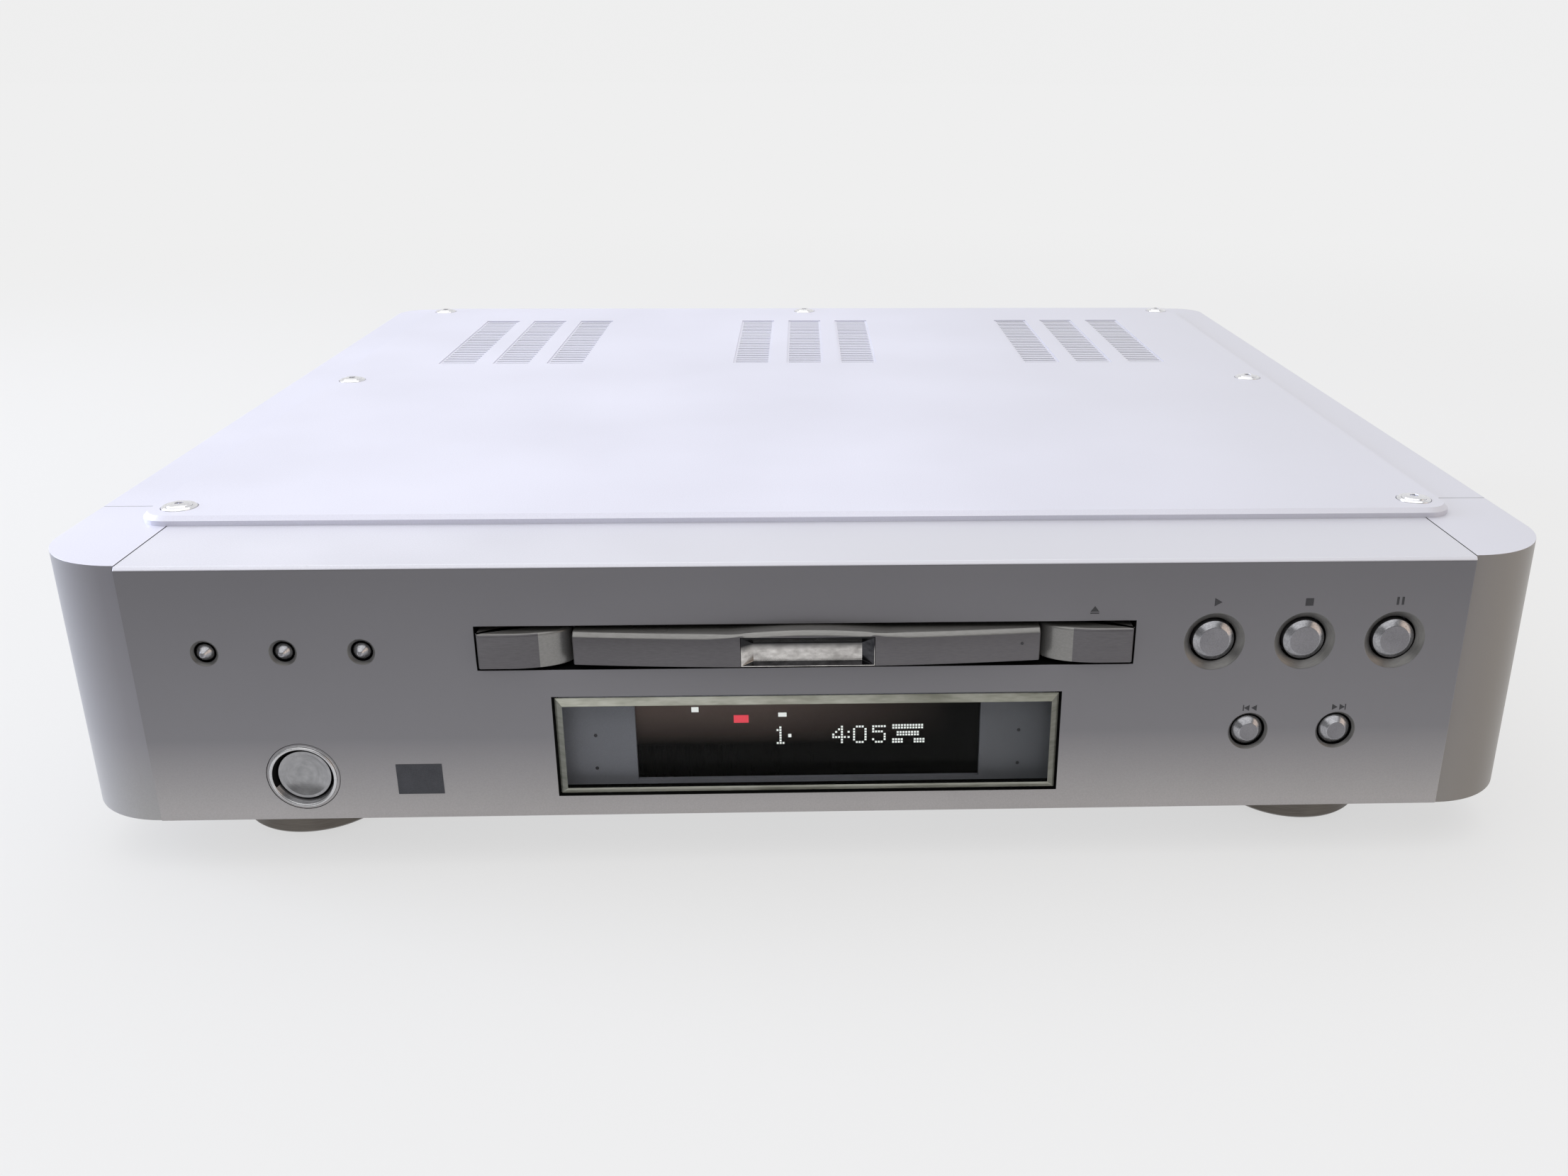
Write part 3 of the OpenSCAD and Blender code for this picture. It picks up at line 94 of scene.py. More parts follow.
# For each of the record's slots: what the real material is and what that gives the eye. tone is
# the two colours that the grain runs between, rough the lowest and highest roughness, grain the
# size of the grain along x, y and z in mm, patch the size of the wider clouding in mm, and dent
# the depth of the grain in mm. turns names tones that take over between two distances in mm from
# the model's own origin along a direction, which is up where none is given, and gloss is the
# specular level where a coat kills part of the reflection.
finishes = {
    # Bead-blasted, clear-anodised aluminium: a fine even grit, soft wide highlights, and painted
    # shade that greys it a little towards the right. Real grit is about 0.1 mm; it is drawn at 0.5
    # mm so that it shows
    "panel_aluminium": dict(tone=("#D2D2DB", "#DCDCE5"), metal=0.5, rough=(0.42, 0.48),
                            grain=(0.5, 0.5, 0.5), patch=60, dent=0.004,
                            turns=[("#D0D0D7", -120, 20, (1, 0, 0))]),
    # The same extrusion stock on the posts, cheeks and cover, a shade paler and cooler, with
    # painted shade that greys it a little towards the right
    "case_aluminium": dict(tone=("#D6D6E2", "#DEDEEA"), metal=0.5, rough=(0.48, 0.54),
                           grain=(0.5, 0.5, 0.5), patch=80, dent=0.003,
                           turns=[("#CFCFD6", 20, 260, (1, 0, 0))]),
    # Polished steel with a nickel flash: near-mirror, with hairline polishing marks
    "bright_steel": dict(tone=("#DCDCE0", "#F0F0F2"), metal=1.0, rough=(0.10, 0.18),
                         grain=(0.3, 2.5, 0.3), patch=12, dent=0.001),
    # Zinc-plated sheet steel: cool grey with faint spangle, drawn 4 mm across
    "zinc_plate": dict(tone=("#A9ABAF", "#C2C3C6"), metal=0.9, rough=(0.32, 0.48),
                       grain=(4, 4, 4), patch=30, dent=0.003),
    # Powder coat on the rear plate: near-black with a fine orange peel, drawn 1 mm across
    "dark_paint": dict(tone=("#2D2E31", "#3A3B3F"), metal=0.0, rough=(0.45, 0.6),
                       grain=(1, 1, 1), patch=50, dent=0.02),
    # Blackened screw steel: dark, slightly shiny, oily grain
    "black_screw": dict(tone=("#1E1E20", "#343437"), metal=0.8, rough=(0.3, 0.45),
                        grain=(0.4, 0.4, 0.4), patch=5, dent=0.002),
    # Turned and anodised aluminium feet: fine turning lines, warm grey, kept dark as painted shade
    # for the shadow under the player
    "foot_metal": dict(tone=("#5F5A55", "#736E68"), metal=0.9, rough=(0.28, 0.38),
                       grain=(6, 6, 0.25), patch=20, dent=0.004),
    # Moulded rubber pads: matt black with a slight bloom
    "pad_rubber": dict(tone=("#1D1D1F", "#2A2A2C"), metal=0.0, rough=(0.75, 0.9),
                       grain=(0.6, 0.6, 0.6), patch=15, dent=0.01),
    # Moulded mask behind the window: satin blue-grey plastic, with painted shade that darkens it
    # towards the right
    "mask_grey": dict(tone=("#80838B", "#8B8E96"), metal=0.0, rough=(0.45, 0.6),
                      grain=(0.4, 0.4, 0.4), patch=40, dent=0.002,
                      turns=[("#6A6D72", 0, 70, (1, 0, 0))]),
    # Float glass of the display tube over its black grid: black with a sharp gloss, and a painted
    # reflection of the room in brown over its upper part, fading to black towards the right
    "tube_glass": dict(tone=("#040404", "#080707"), metal=0.0, rough=(0.05, 0.1),
                       grain=(0.4, 8, 8), patch=60, dent=0.0, gloss=0.06,
                       turns=[("#8A7A74", 38, 56), ("#060606", -15, 45, (1, 0, 0))]),
    # Turned aluminium buttons, blasted and anodised: satin, finer than the panel
    "button_metal": dict(tone=("#77767A", "#8B8A8E"), metal=0.8, rough=(0.3, 0.38),
                         grain=(0.35, 0.35, 0.35), patch=10, dent=0.002),
    # Anodised aluminium front of the tray and the side buttons, a darker grey than the panel
    "front_metal": dict(tone=("#5C5A5D", "#676568"), metal=0.5, rough=(0.3, 0.38),
                        grain=(2.5, 0.3, 0.3), patch=40, dent=0.003),
    # Solder-masked glass-epoxy board: green lacquer over the weave, drawn 0.8 mm across
    "board_green": dict(tone=("#1E5236", "#2F6E4B"), metal=0.0, rough=(0.3, 0.5),
                        grain=(0.8, 0.8, 0.8), patch=12, dent=0.02),
    # Phenolic paper board: brown, mottled and dull
    "board_brown": dict(tone=("#7C5B31", "#93703F"), metal=0.0, rough=(0.5, 0.65),
                        grain=(1.5, 1.5, 1.5), patch=14, dent=0.01),
    # Injection-moulded ABS of the tray and loader: charcoal with a fine spark-eroded grain
    "tray_plastic": dict(tone=("#303135", "#3E3F44"), metal=0.0, rough=(0.45, 0.6),
                         grain=(0.6, 0.6, 0.6), patch=40, dent=0.012),
    # Natural nylon gears: milky cream, waxy
    "gear_nylon": dict(tone=("#DDD8C8", "#EBE7DA"), metal=0.0, rough=(0.35, 0.5),
                       grain=(1.5, 1.5, 1.5), patch=8, dent=0.004),
    # Ground rubber belt: matt black with a dusty bloom
    "belt_rubber": dict(tone=("#151516", "#262627"), metal=0.0, rough=(0.7, 0.85),
                        grain=(0.5, 0.5, 0.5), patch=6, dent=0.01),
    # Turned brass: warm yellow with fine tool marks
    "brass": dict(tone=("#B9995A", "#D3B470"), metal=1.0, rough=(0.2, 0.32),
                  grain=(0.3, 0.3, 1.5), patch=5, dent=0.002),
    # Coated optical glass: blue-violet bloom on a hard gloss
    "lens_glass": dict(tone=("#2C3F66", "#5A4F86"), metal=0.0, rough=(0.02, 0.05),
                       grain=(3, 3, 3), patch=4, dent=0.0),
    # Enamelled copper under varnished tape: amber with the lay of the wire, 0.6 mm pitch
    "winding": dict(tone=("#A26E22", "#C99643"), metal=0.1, rough=(0.35, 0.5),
                    grain=(8, 8, 0.6), patch=20, dent=0.05),
    # Printed PVC sleeve of the capacitors: dark blue, glossy, lightly shrunk
    "capacitor_sleeve": dict(tone=("#232A4C", "#333C66"), metal=0.0, rough=(0.25, 0.35),
                             grain=(3, 3, 6), patch=10, dent=0.01),
    # Extruded heat sink: bright aluminium with die lines along its length
    "fin_aluminium": dict(tone=("#9C9EA3", "#B7B8BC"), metal=0.95, rough=(0.3, 0.42),
                          grain=(0.3, 0.3, 12), patch=20, dent=0.004),
    # Moulded inlet: black engineering plastic, fine matt grain
    "inlet_plastic": dict(tone=("#161618", "#242427"), metal=0.0, rough=(0.4, 0.55),
                          grain=(0.5, 0.5, 0.5), patch=12, dent=0.008),
    # Flash-gilded brass of the jacks: clean warm gold
    "jack_gold": dict(tone=("#C9A85C", "#E2C57C"), metal=1.0, rough=(0.14, 0.24),
                      grain=(0.4, 1.5, 0.4), patch=5, dent=0.001),
}


# The grain's octaves and falloff, the band of the two noises' sum that the tones run over, and the
# band of the clouding that the roughness runs over
noise = {"octaves": 2.0, "falloff": 0.55, "toneBand": (0.7, 1.3), "roughBand": (0.3, 0.7)}


def grainedFinish(name, f):
    # Grain and clouding are noise on Object coordinates. Their mean picks the colour between the
    # two tones, the clouding moves the roughness, and the grain dents the surface
    material = bpy.data.materials.new(name)
    material.use_nodes = True
    tree = material.node_tree
    shader = tree.nodes["Principled BSDF"]
    place = addNode(tree, "TexCoord").outputs["Object"]
    sized = addNode(tree, "Mapping", {"Scale": [1000 / g for g in f["grain"]]}, {"Vector": place})
    grain = addNode(tree, "TexNoise", {"Scale": 1.0, "Detail": noise["octaves"],
                                       "Roughness": noise["falloff"]},
                    {"Vector": sized.outputs[0]}).outputs[0]
    cloud = addNode(tree, "TexNoise", {"Scale": 1000 / f["patch"], "Detail": noise["octaves"]},
                    {"Vector": place}).outputs[0]
    both = addNode(tree, "Math", {"operation": "ADD"}, {0: grain, 1: cloud}).outputs[0]
    low, high = noise["toneBand"]
    share = addNode(tree, "MapRange", {"From Min": low, "From Max": high}, {0: both}).outputs[0]
    first, second = [linear(tone) for tone in f["tone"]]
    tone = addNode(tree, "Mix", {"data_type": "RGBA", 6: first, 7: second}, {0: share}).outputs[2]
    for paintedTone, low, high, *way in f.get("turns", []):
        # Painted light or shade: the tone turns into another one along a direction. The new one's
        # share is (place . direction - low)/(high - low)
        direction = way[0] if way else (0, 0, 1)
        reach = addNode(tree, "VectorMath", {"operation": "DOT_PRODUCT", 1: direction},
                        {0: place}).outputs["Value"]
        share = addNode(tree, "MapRange", {1: low / 1000, 2: high / 1000}, {0: reach}).outputs[0]
        tone = addNode(tree, "Mix", {"data_type": "RGBA", 7: linear(paintedTone)},
                       {0: share, 6: tone}).outputs[2]
    (low, high), (smooth, coarse) = noise["roughBand"], f["rough"]
    rough = addNode(tree, "MapRange", {"From Min": low, "From Max": high, "To Min": smooth,
                                       "To Max": coarse}, {0: cloud}).outputs[0]
    tree.links.new(tone, shader.inputs["Base Color"])
    tree.links.new(rough, shader.inputs["Roughness"])
    shader.inputs["Metallic"].default_value = f["metal"]
    shader.inputs["Specular IOR Level"].default_value = f.get("gloss", 0.5)
    if f["dent"]:
        bump = addNode(tree, "Bump", {"Strength": 1.0, "Distance": f["dent"] / 1000},
                       {"Height": grain})
        tree.links.new(bump.outputs[0], shader.inputs["Normal"])
    return material


made = {name: grainedFinish(name, f) for name, f in finishes.items()}


acrylic = {"colour": "#20211F", "alpha": 0.10, "rough": 0.04, "clouds": 40.0, "octaves": 3.0,
           "ior": 1.49, "gloss": 0.15}


def pane(name, f):
    # Cast acrylic with an anti-glare coat: clear, faint clouding where hands have wiped it
    material = bpy.data.materials.new(name)
    material.use_nodes = True
    tree = material.node_tree
    shader = tree.nodes["Principled BSDF"]
    place = addNode(tree, "TexCoord").outputs["Object"]
    cloud = addNode(tree, "TexNoise", {"Scale": f["clouds"], "Detail": f["octaves"]},
                    {"Vector": place}).outputs[0]
    rubbed = addNode(tree, "MapRange", {"To Min": f["rough"], "To Max": f["rough"] * 2},
                     {0: cloud}).outputs[0]
    tree.links.new(rubbed, shader.inputs["Roughness"])
    shader.inputs["Base Color"].default_value = linear(f["colour"])
    shader.inputs["IOR"].default_value = f["ior"]
    shader.inputs["Specular IOR Level"].default_value = f["gloss"]
    shader.inputs["Alpha"].default_value = f["alpha"]
    return material


made["clear_window"] = pane("clear_window", acrylic)
# The sawn and flame-polished edge of the acrylic: a painted highlight, pale and slightly green,
# where it would pipe light
windowEdgeLit = grainedFinish("acrylic_edge", dict(
    tone=("#8C8D80", "#B4B5AA"), metal=0.3, rough=(0.08, 0.2), grain=(6, 6, 1),
    patch=25, dent=0.002))
# The same edge at the pane's two ends, darker as painted shade where they turn away from the light
# above
windowEndShaded = grainedFinish("acrylic_end", dict(
    tone=("#64655D", "#81827A"), metal=0.3, rough=(0.08, 0.2), grain=(6, 6, 1),
    patch=25, dent=0.002))
# The panel's face: the same blasted aluminium, with painted shade that makes it a darker satin grey
# than the top and darkest towards its top, and a painted reflection of the floor that makes it warm
# and pale at its foot
panelFacePaintedLight = grainedFinish("panel_face", dict(
    tone=("#A9A6A6", "#B5B2B2"), metal=0.45, rough=(0.38, 0.46), grain=(0.5, 0.5, 0.5),
    patch=60, dent=0.006,
    turns=[("#828185", 20, 45), ("#717074", 45, 96)]))
# The upright sides of the posts and cheeks: the same grey, satin, a little shinier, with painted
# shade that makes them darker than the tops and darker still upwards, painted warm light towards
# the right and a painted highlight at the far left
sidePaintedLight = grainedFinish("side_face", dict(
    tone=("#A3A2A2", "#ADACAC"), metal=0.6, rough=(0.3, 0.38), grain=(0.5, 0.5, 0.5),
    patch=60, dent=0.004,
    turns=[("#8F8E93", 18, 45),
           ("#7E7D83", 45, 96),
           ("#87827D", 150, 215, (1, 0, 0)),
           ("#B5B6BC", 205, 240, (-1, 0, 0))]))
# The inner walls of the panel's openings: painted shade in matt black, so every gap reads as a dark
# line
shadeLiner = grainedFinish("black_liner", dict(
    tone=("#060606", "#0D0D0D"), metal=0.0, rough=(0.7, 0.85), grain=(0.5, 0.5, 0.5),
    patch=10, dent=0.01, gloss=0.1))
# Turned dishes round the buttons: bare metal with tool marks, darker than the blasted face as
# painted shade in the recess
dishToolMarksAndShade = grainedFinish("turned_dish", dict(
    tone=("#6B6A69", "#7D7C7A"), metal=0.8, rough=(0.36, 0.46), grain=(3, 0.25, 3),
    patch=6, dent=0.001))
# Diamond-cut cones and rims of the buttons: brighter than the blasted face, with short glints
cutFinish = grainedFinish("diamond_cut", dict(
    tone=("#8B8B8F", "#B1B1B5"), metal=1.0, rough=(0.18, 0.3), grain=(0.6, 0.3, 0.6),
    patch=3, dent=0.004))
# Milled upper edges and rounded ends of the tray's front and the side buttons: satin, and pale as
# painted light where they look up or turn aside
milledEdgeAndLight = grainedFinish("milled_edge", dict(
    tone=("#7E7D7B", "#8E8D8B"), metal=0.6, rough=(0.26, 0.36), grain=(3, 0.3, 0.3),
    patch=30, dent=0.002))
# Polished rim round the power button: bright satin with a soft glint
rimFinish = grainedFinish("polished_rim", dict(
    tone=("#BEBEC0", "#D8D8DA"), metal=0.9, rough=(0.22, 0.3), grain=(0.4, 2, 0.4),
    patch=8, dent=0.001))
# The power button's hollow: lapped, greyer than its rim
hollowFinish = grainedFinish("lapped_hollow", dict(
    tone=("#909092", "#A6A6A8"), metal=0.9, rough=(0.2, 0.28), grain=(2, 0.4, 2),
    patch=9, dent=0.001))
# Chrome of the insert: a pale mirror broken up by coarse grain, with painted shade that turns it
# nearly black along its upper edge
chromeShadedTop = grainedFinish("smoked_chrome", dict(
    tone=("#A3A09D", "#DEDBD8"), metal=0.9, rough=(0.16, 0.3), grain=(2.6, 2.6, 1.6),
    patch=7, dent=0.006,
    turns=[("#2A2A2C", 73.8, 76)]))
# The same chrome where its bevels look down or away: painted shade, nearly black
chromeShadedBevels = grainedFinish("dark_chrome", dict(
    tone=("#2B2B2E", "#4A4A4D"), metal=1.0, rough=(0.1, 0.2), grain=(2, 2, 1),
    patch=6, dent=0.004))
# Screen-printed ink: flat dark grey, slightly broken by the panel's grain
ink = grainedFinish("printed_ink", dict(
    tone=("#2C2C2F", "#3A3A3E"), metal=0.0, rough=(0.5, 0.65), grain=(0.3, 0.3, 0.3),
    patch=8, dent=0.0))
# Anodised name plate left blank: dark, satin
plateFinish = grainedFinish("blank_plate", dict(
    tone=("#3B3C41", "#4A4B50"), metal=0.5, rough=(0.35, 0.5), grain=(0.3, 0.3, 0.3),
    patch=6, dent=0.002))


def glowing(name, colour, strength):
    # Phosphor behind glass: it shines in one even tone
    material = grainedFinish(name, dict(tone=(colour, colour), metal=0.0, rough=(0.3, 0.4),
                                        grain=(0.6, 0.6, 0.6), patch=5, dent=0.0))
    shader = material.node_tree.nodes["Principled BSDF"]
    shader.inputs["Emission Color"].default_value = linear(colour)
    shader.inputs["Emission Strength"].default_value = strength
    return material


whiteGlow = glowing("phosphor_white", "#E9EEEA", 0.75)
redGlow = glowing("phosphor_red", "#D9424F", 0.8)
print("finishes made:", len(bpy.data.materials))

for name, node in nodes.items():
    node.data.materials.clear()
    node.data.materials.append(made[slotOf[name]])


# Shapes

def gridFaces(rows, cols, closeRows=False, closeCols=False):
    # Four-sided faces between neighbouring points of a rows x cols grid, closed on itself where
    # asked
    r, c = np.meshgrid(np.arange(rows - (not closeRows)), np.arange(cols - (not closeCols)),
                       indexing="ij")
    r2, c2 = (r + 1) % rows, (c + 1) % cols
    return np.stack([r * cols + c, r * cols + c2, r2 * cols + c2, r2 * cols + c], -1).reshape(-1, 4)


def softened(profile, ease, steps=5, closed=False):
    # Each corner becomes a quadratic curve: (1-t)^2 a + 2t(1-t) corner + t^2 b, where a and b lie
    # ease before and after the corner, and never past the middle of a side
    p = np.array(profile, float)
    if closed:
        p = np.concatenate([p[-1:], p, p[:1]])
    corner, back, ahead = p[1:-1], p[:-2] - p[1:-1], p[2:] - p[1:-1]
    reach = [v * np.minimum(ease / np.linalg.norm(v, axis=1), 0.5)[:, None] for v in (back, ahead)]
    t = np.linspace(0, 1, steps)[None, :, None]
    a, b = corner + reach[0], corner + reach[1]
    curve = (1 - t) ** 2 * a[:, None] + 2 * t * (1 - t) * corner[:, None] + t ** 2 * b[:, None]
    curve = curve.reshape(-1, 2)
    return curve if closed else np.concatenate([p[:1], curve, p[-1:]])


def turned(profile, centre, along="y", steps=96, closed=False):
    # A profile of (radius, height) carried round a line through centre: radius cos t, radius sin t,
    # height
    radius, height = np.array(profile, float).T
    angles = np.linspace(0, 2 * np.pi, steps, endpoint=False)
    r, t = np.meshgrid(radius, angles, indexing="ij")
    h = np.repeat(height[:, None], steps, 1)
    east, north = r * np.cos(t), r * np.sin(t)
    axes = {"y": (east, h, north), "z": (east, north, h)}[along]
    points = np.stack(axes, -1).reshape(-1, 3) + np.array(centre, float)
    return points, gridFaces(len(radius), steps, closed, True)


def prisms(outlines, front, back):
    # Outlines (shape, corner, x and z) given a front and a back along y, with a wall between the
    # two
    o = np.array(outlines, float)
    count, corners = o.shape[:2]
    layers = [np.stack([o[..., 0], np.full((count, corners), y), o[..., 1]], -1)
              for y in (front, back)]
    points = np.stack(layers, 1).reshape(-1, 3)
    base = (np.arange(count) * 2 * corners)[:, None, None]
    k = np.arange(corners)
    following = (k + 1) % corners
    wall = np.stack([k, following, following + corners, k + corners], -1)[None] + base
    caps = np.stack([k, k[::-1] + corners])[None] + base
    return points, wall.reshape(-1, 4).tolist() + caps.reshape(-1, corners).tolist()


def boxes(x0, x1, z0, z1):
    # The four corners of upright rectangles, for prisms
    return np.stack([np.stack([x0, z0], -1), np.stack([x1, z0], -1),
                     np.stack([x1, z1], -1), np.stack([x0, z1], -1)], 1)


def joined(parts):
    # Several (points, faces) as one
    points, faces, start = [], [], 0
    for p, f in parts:
        points.append(p)
        faces += [[v + start for v in face] for face in f]
        start += len(p)
    return np.concatenate(points), faces


# Points nearer than a double's distance in m are one, and faces within the flat angle in degrees
# too
merging = {"double": 1e-7, "nodeDouble": 1e-6, "flat": 0.4}


def piece(name, shape, body, material, stands=(), smooth=35):
    # Puts a shape into the scene: doubles merged so that poles close, faces turned outwards
    points, faces = shape
    mesh = bpy.data.meshes.new(name)
    corners = faces.tolist() if hasattr(faces, "tolist") else faces
    mesh.from_pydata(toWorld(points).tolist(), [], corners)
    work = bmesh.new()
    work.from_mesh(mesh)
    bmesh.ops.remove_doubles(work, verts=work.verts, dist=merging["double"])
    bmesh.ops.recalc_face_normals(work, faces=work.faces)
    work.to_mesh(mesh)
    work.free()
    return seated(name, mesh, body, material, stands, smooth)


def seated(name, mesh, body, material, stands, smooth):
    # Gives a mesh its smooth faces, material, body and slot, and hides the CAD nodes that it stands
    # for
    mesh.shade_smooth()
    mesh.set_sharp_from_angle(angle=math.radians(smooth))
    mesh.materials.clear()
    mesh.materials.append(material)
    thing = bpy.data.objects.new(name, mesh)
    bpy.context.scene.collection.objects.link(thing)
    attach(thing, body)
    if stands:
        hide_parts(*stands)
    return thing


def eased(node, name, width, heavy=None, reshape=None, angle=30):
    # The node's own mesh with doubles merged and flat parts made whole. reshape moves its points
    # where the photograph differs a little from the solid. Bevel rounds its sharp edges by width,
    # and the edges that heavy picks by their two ends by heavy's own width
    source = nodes[node]
    mesh = source.data.copy()
    if "custom_normal" in mesh.attributes:
        mesh.attributes.remove(mesh.attributes["custom_normal"])
    work = bmesh.new()
    work.from_mesh(mesh)
    bmesh.ops.remove_doubles(work, verts=work.verts, dist=merging["nodeDouble"])
    bmesh.ops.dissolve_limit(work, angle_limit=math.radians(merging["flat"]), verts=work.verts,
                             edges=work.edges)
    turns = np.array([edge.calc_face_angle(0) for edge in work.edges])
    work.to_mesh(mesh)
    work.free()
    flat = np.zeros(len(mesh.vertices) * 3)
    mesh.vertices.foreach_get("co", flat)
    points = (flat.reshape(-1, 3) - panelOrigin) * 1000
    pairs = np.zeros(len(mesh.edges) * 2, int)
    mesh.edges.foreach_get("vertices", pairs)
    ends = points[pairs.reshape(-1, 2)]
    widest, picked = (heavy[0], heavy[1](ends)) if heavy else (width, False)
    weights = np.where(turns > math.radians(angle), np.where(picked, 1.0, width / widest), 0.0)
    bevelWeights = mesh.attributes.new("bevel_weight_edge", "FLOAT", "EDGE")
    bevelWeights.data.foreach_set("value", weights)
    if reshape:
        mesh.vertices.foreach_set("co", toWorld(reshape(points)).ravel())
    slotName = slotOf[node]
    thing = seated(name, mesh, source["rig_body"], made[slotName], [node], angle)
    bevel = thing.modifiers.new("eased edges", "BEVEL")
    bevel.width = widest / 1000
    bevel.segments = 2
    bevel.limit_method = "WEIGHT"
    bevel.use_clamp_overlap = not heavy
    bevel.harden_normals = True
    return thing


# Case: small corrections from the photograph, on the pieces' own meshes Old and new chamfer, the
# panel's face, top and side, a corner's arc (centre x and y, radius) before and after, the height
# the foot goes down to, and how near a point has to be to lie on a plane
shape = {
    "chamfer": (1.84, 1.0), "panel": (0.0, 83.0), "side": 200.0,
    "post": (202.0, 30.6, 27.0), "postNew": (200.5, 30.3, 28.5), "foot": -0.7, "near": 0.05,
}


def finerChamfer(p):
    # The chamfer's two lines move along y and along z to its smaller size
    x, y, z = p.T
    old, new = shape["chamfer"]
    (face, top), near = shape["panel"], shape["near"]
    y = np.where((z > top - near) & (abs(y - old) < near), new, y)
    z = np.where((y < face + near) & (abs(z - top + old) < near), top - new, z)
    return np.stack([x, y, z], 1)


def lowerFoot(p):
    # Points on the foot go down
    x, y, z = p.T
    return np.stack([x, y, np.where(z < shape["near"], shape["foot"], z)], 1)


def fullerPost(p):
    # The corner's arc is scaled about its centre to the new radius, and what lies before it follows
    x, y, z = lowerFoot(p).T
    a, near = abs(x), shape["near"]
    (cx, cy, r), (nx, ny, nr) = shape["post"], shape["postNew"]
    inArc = (y < cy + near) & (a > cx - near)
    before = (y < cy - near) & ~inArc
    a2 = np.where(inArc, nx + (a - cx) * nr / r, a)
    y2 = np.where(inArc, ny + (y - cy) * nr / r, np.where(before, y - (cy - r) + (ny - nr), y))
    return np.stack([np.sign(x) * a2, y2, z], 1)


# The side buttons: their top, the plane their chamfer ends before, their outer corner and its width
sideButton = {"top": 62.1, "front": 6, "corner": 97.5, "near": 0.1, "chamfer": 1.2}


def alongTop(ends):
    # Edges whose two ends lie at the top, before a plane and inside the button's outer corner
    b = sideButton
    return ((abs(ends[..., 2] - b["top"]) < b["near"]) & (ends[..., 1] < b["front"])
            & (abs(ends[..., 0]) < b["corner"])).all(1)


def panelSides(ends):
    # The upright edges at the two ends of the panel's face
    near = shape["near"]
    return ((abs(ends[..., 0]) > shape["side"] - near) & (ends[..., 1] < near)).all(1)


# The sharp edges of each part are eased by its own width
chamfered = (sideButton["chamfer"], alongTop)
easedParts = {
    "front_panel": dict(name="frontPanel", width=0.2, heavy=(0.5, panelSides),
                        reshape=finerChamfer),
    "corner_post_left": dict(name="cornerPostLeft", width=0.25, reshape=fullerPost),
    "corner_post_right": dict(name="cornerPostRight", width=0.25, reshape=fullerPost),
    "side_cheek_left": dict(name="sideCheekLeft", width=0.25, reshape=lowerFoot),
    "side_cheek_right": dict(name="sideCheekRight", width=0.25, reshape=lowerFoot),
    "tray_insert": dict(name="trayInsert", width=0.12),
    "video_button": dict(name="videoButton", width=0.25, heavy=chamfered),
    "open_close_button": dict(name="openCloseButton", width=0.25, heavy=chamfered),
    "cover_screws": dict(name="coverScrews", width=0.12),
}
for node, p in easedParts.items():
    eased(node, **p)
print("edges eased on", len(easedParts), "parts")


def dress(thing, *layers):
    # Further materials, each for the faces that its chooser picks by normals and centres in mm
    mesh = thing.data
    normals, centres = np.zeros((2, len(mesh.polygons), 3))
    mesh.polygons.foreach_get("normal", normals.ravel())
    mesh.polygons.foreach_get("center", centres.ravel())
    centres = (centres - panelOrigin) * 1000
    index = np.zeros(len(mesh.polygons), np.int32)
    for material, chosen in layers:
        mesh.materials.append(material)
        index[chosen(normals, centres)] = len(mesh.materials) - 1
    mesh.polygons.foreach_set("material_index", index)


# The tray's front: a profile of y and z carried along x over its bow. swell holds the half width,
# height and depth of its raised middle, and recess its half width, the bridge's underside and the
# floor's y. The chamfer narrows towards the middle by taper's first number per mm, from its second
# for the length of its third. Over the bridge it leaves lip, and starts bridgeInset inside the side
bow = dict(half=69.7, middle=-5.19, ends=-1.6, back=5.0, low=51.8, high=62.1, chamfer=1.35,
           round=0.25, swell=(23.0, 1.2, 3.0), recess=(20.0, 61.2, -1.3), stations=60,
           taper=(0.07, 30, 10), lip=0.15, bridgeInset=1, bridgeRound=0.5, curve=(0.1, 0.8),
           milledUp=0.3, milledAbove=58)


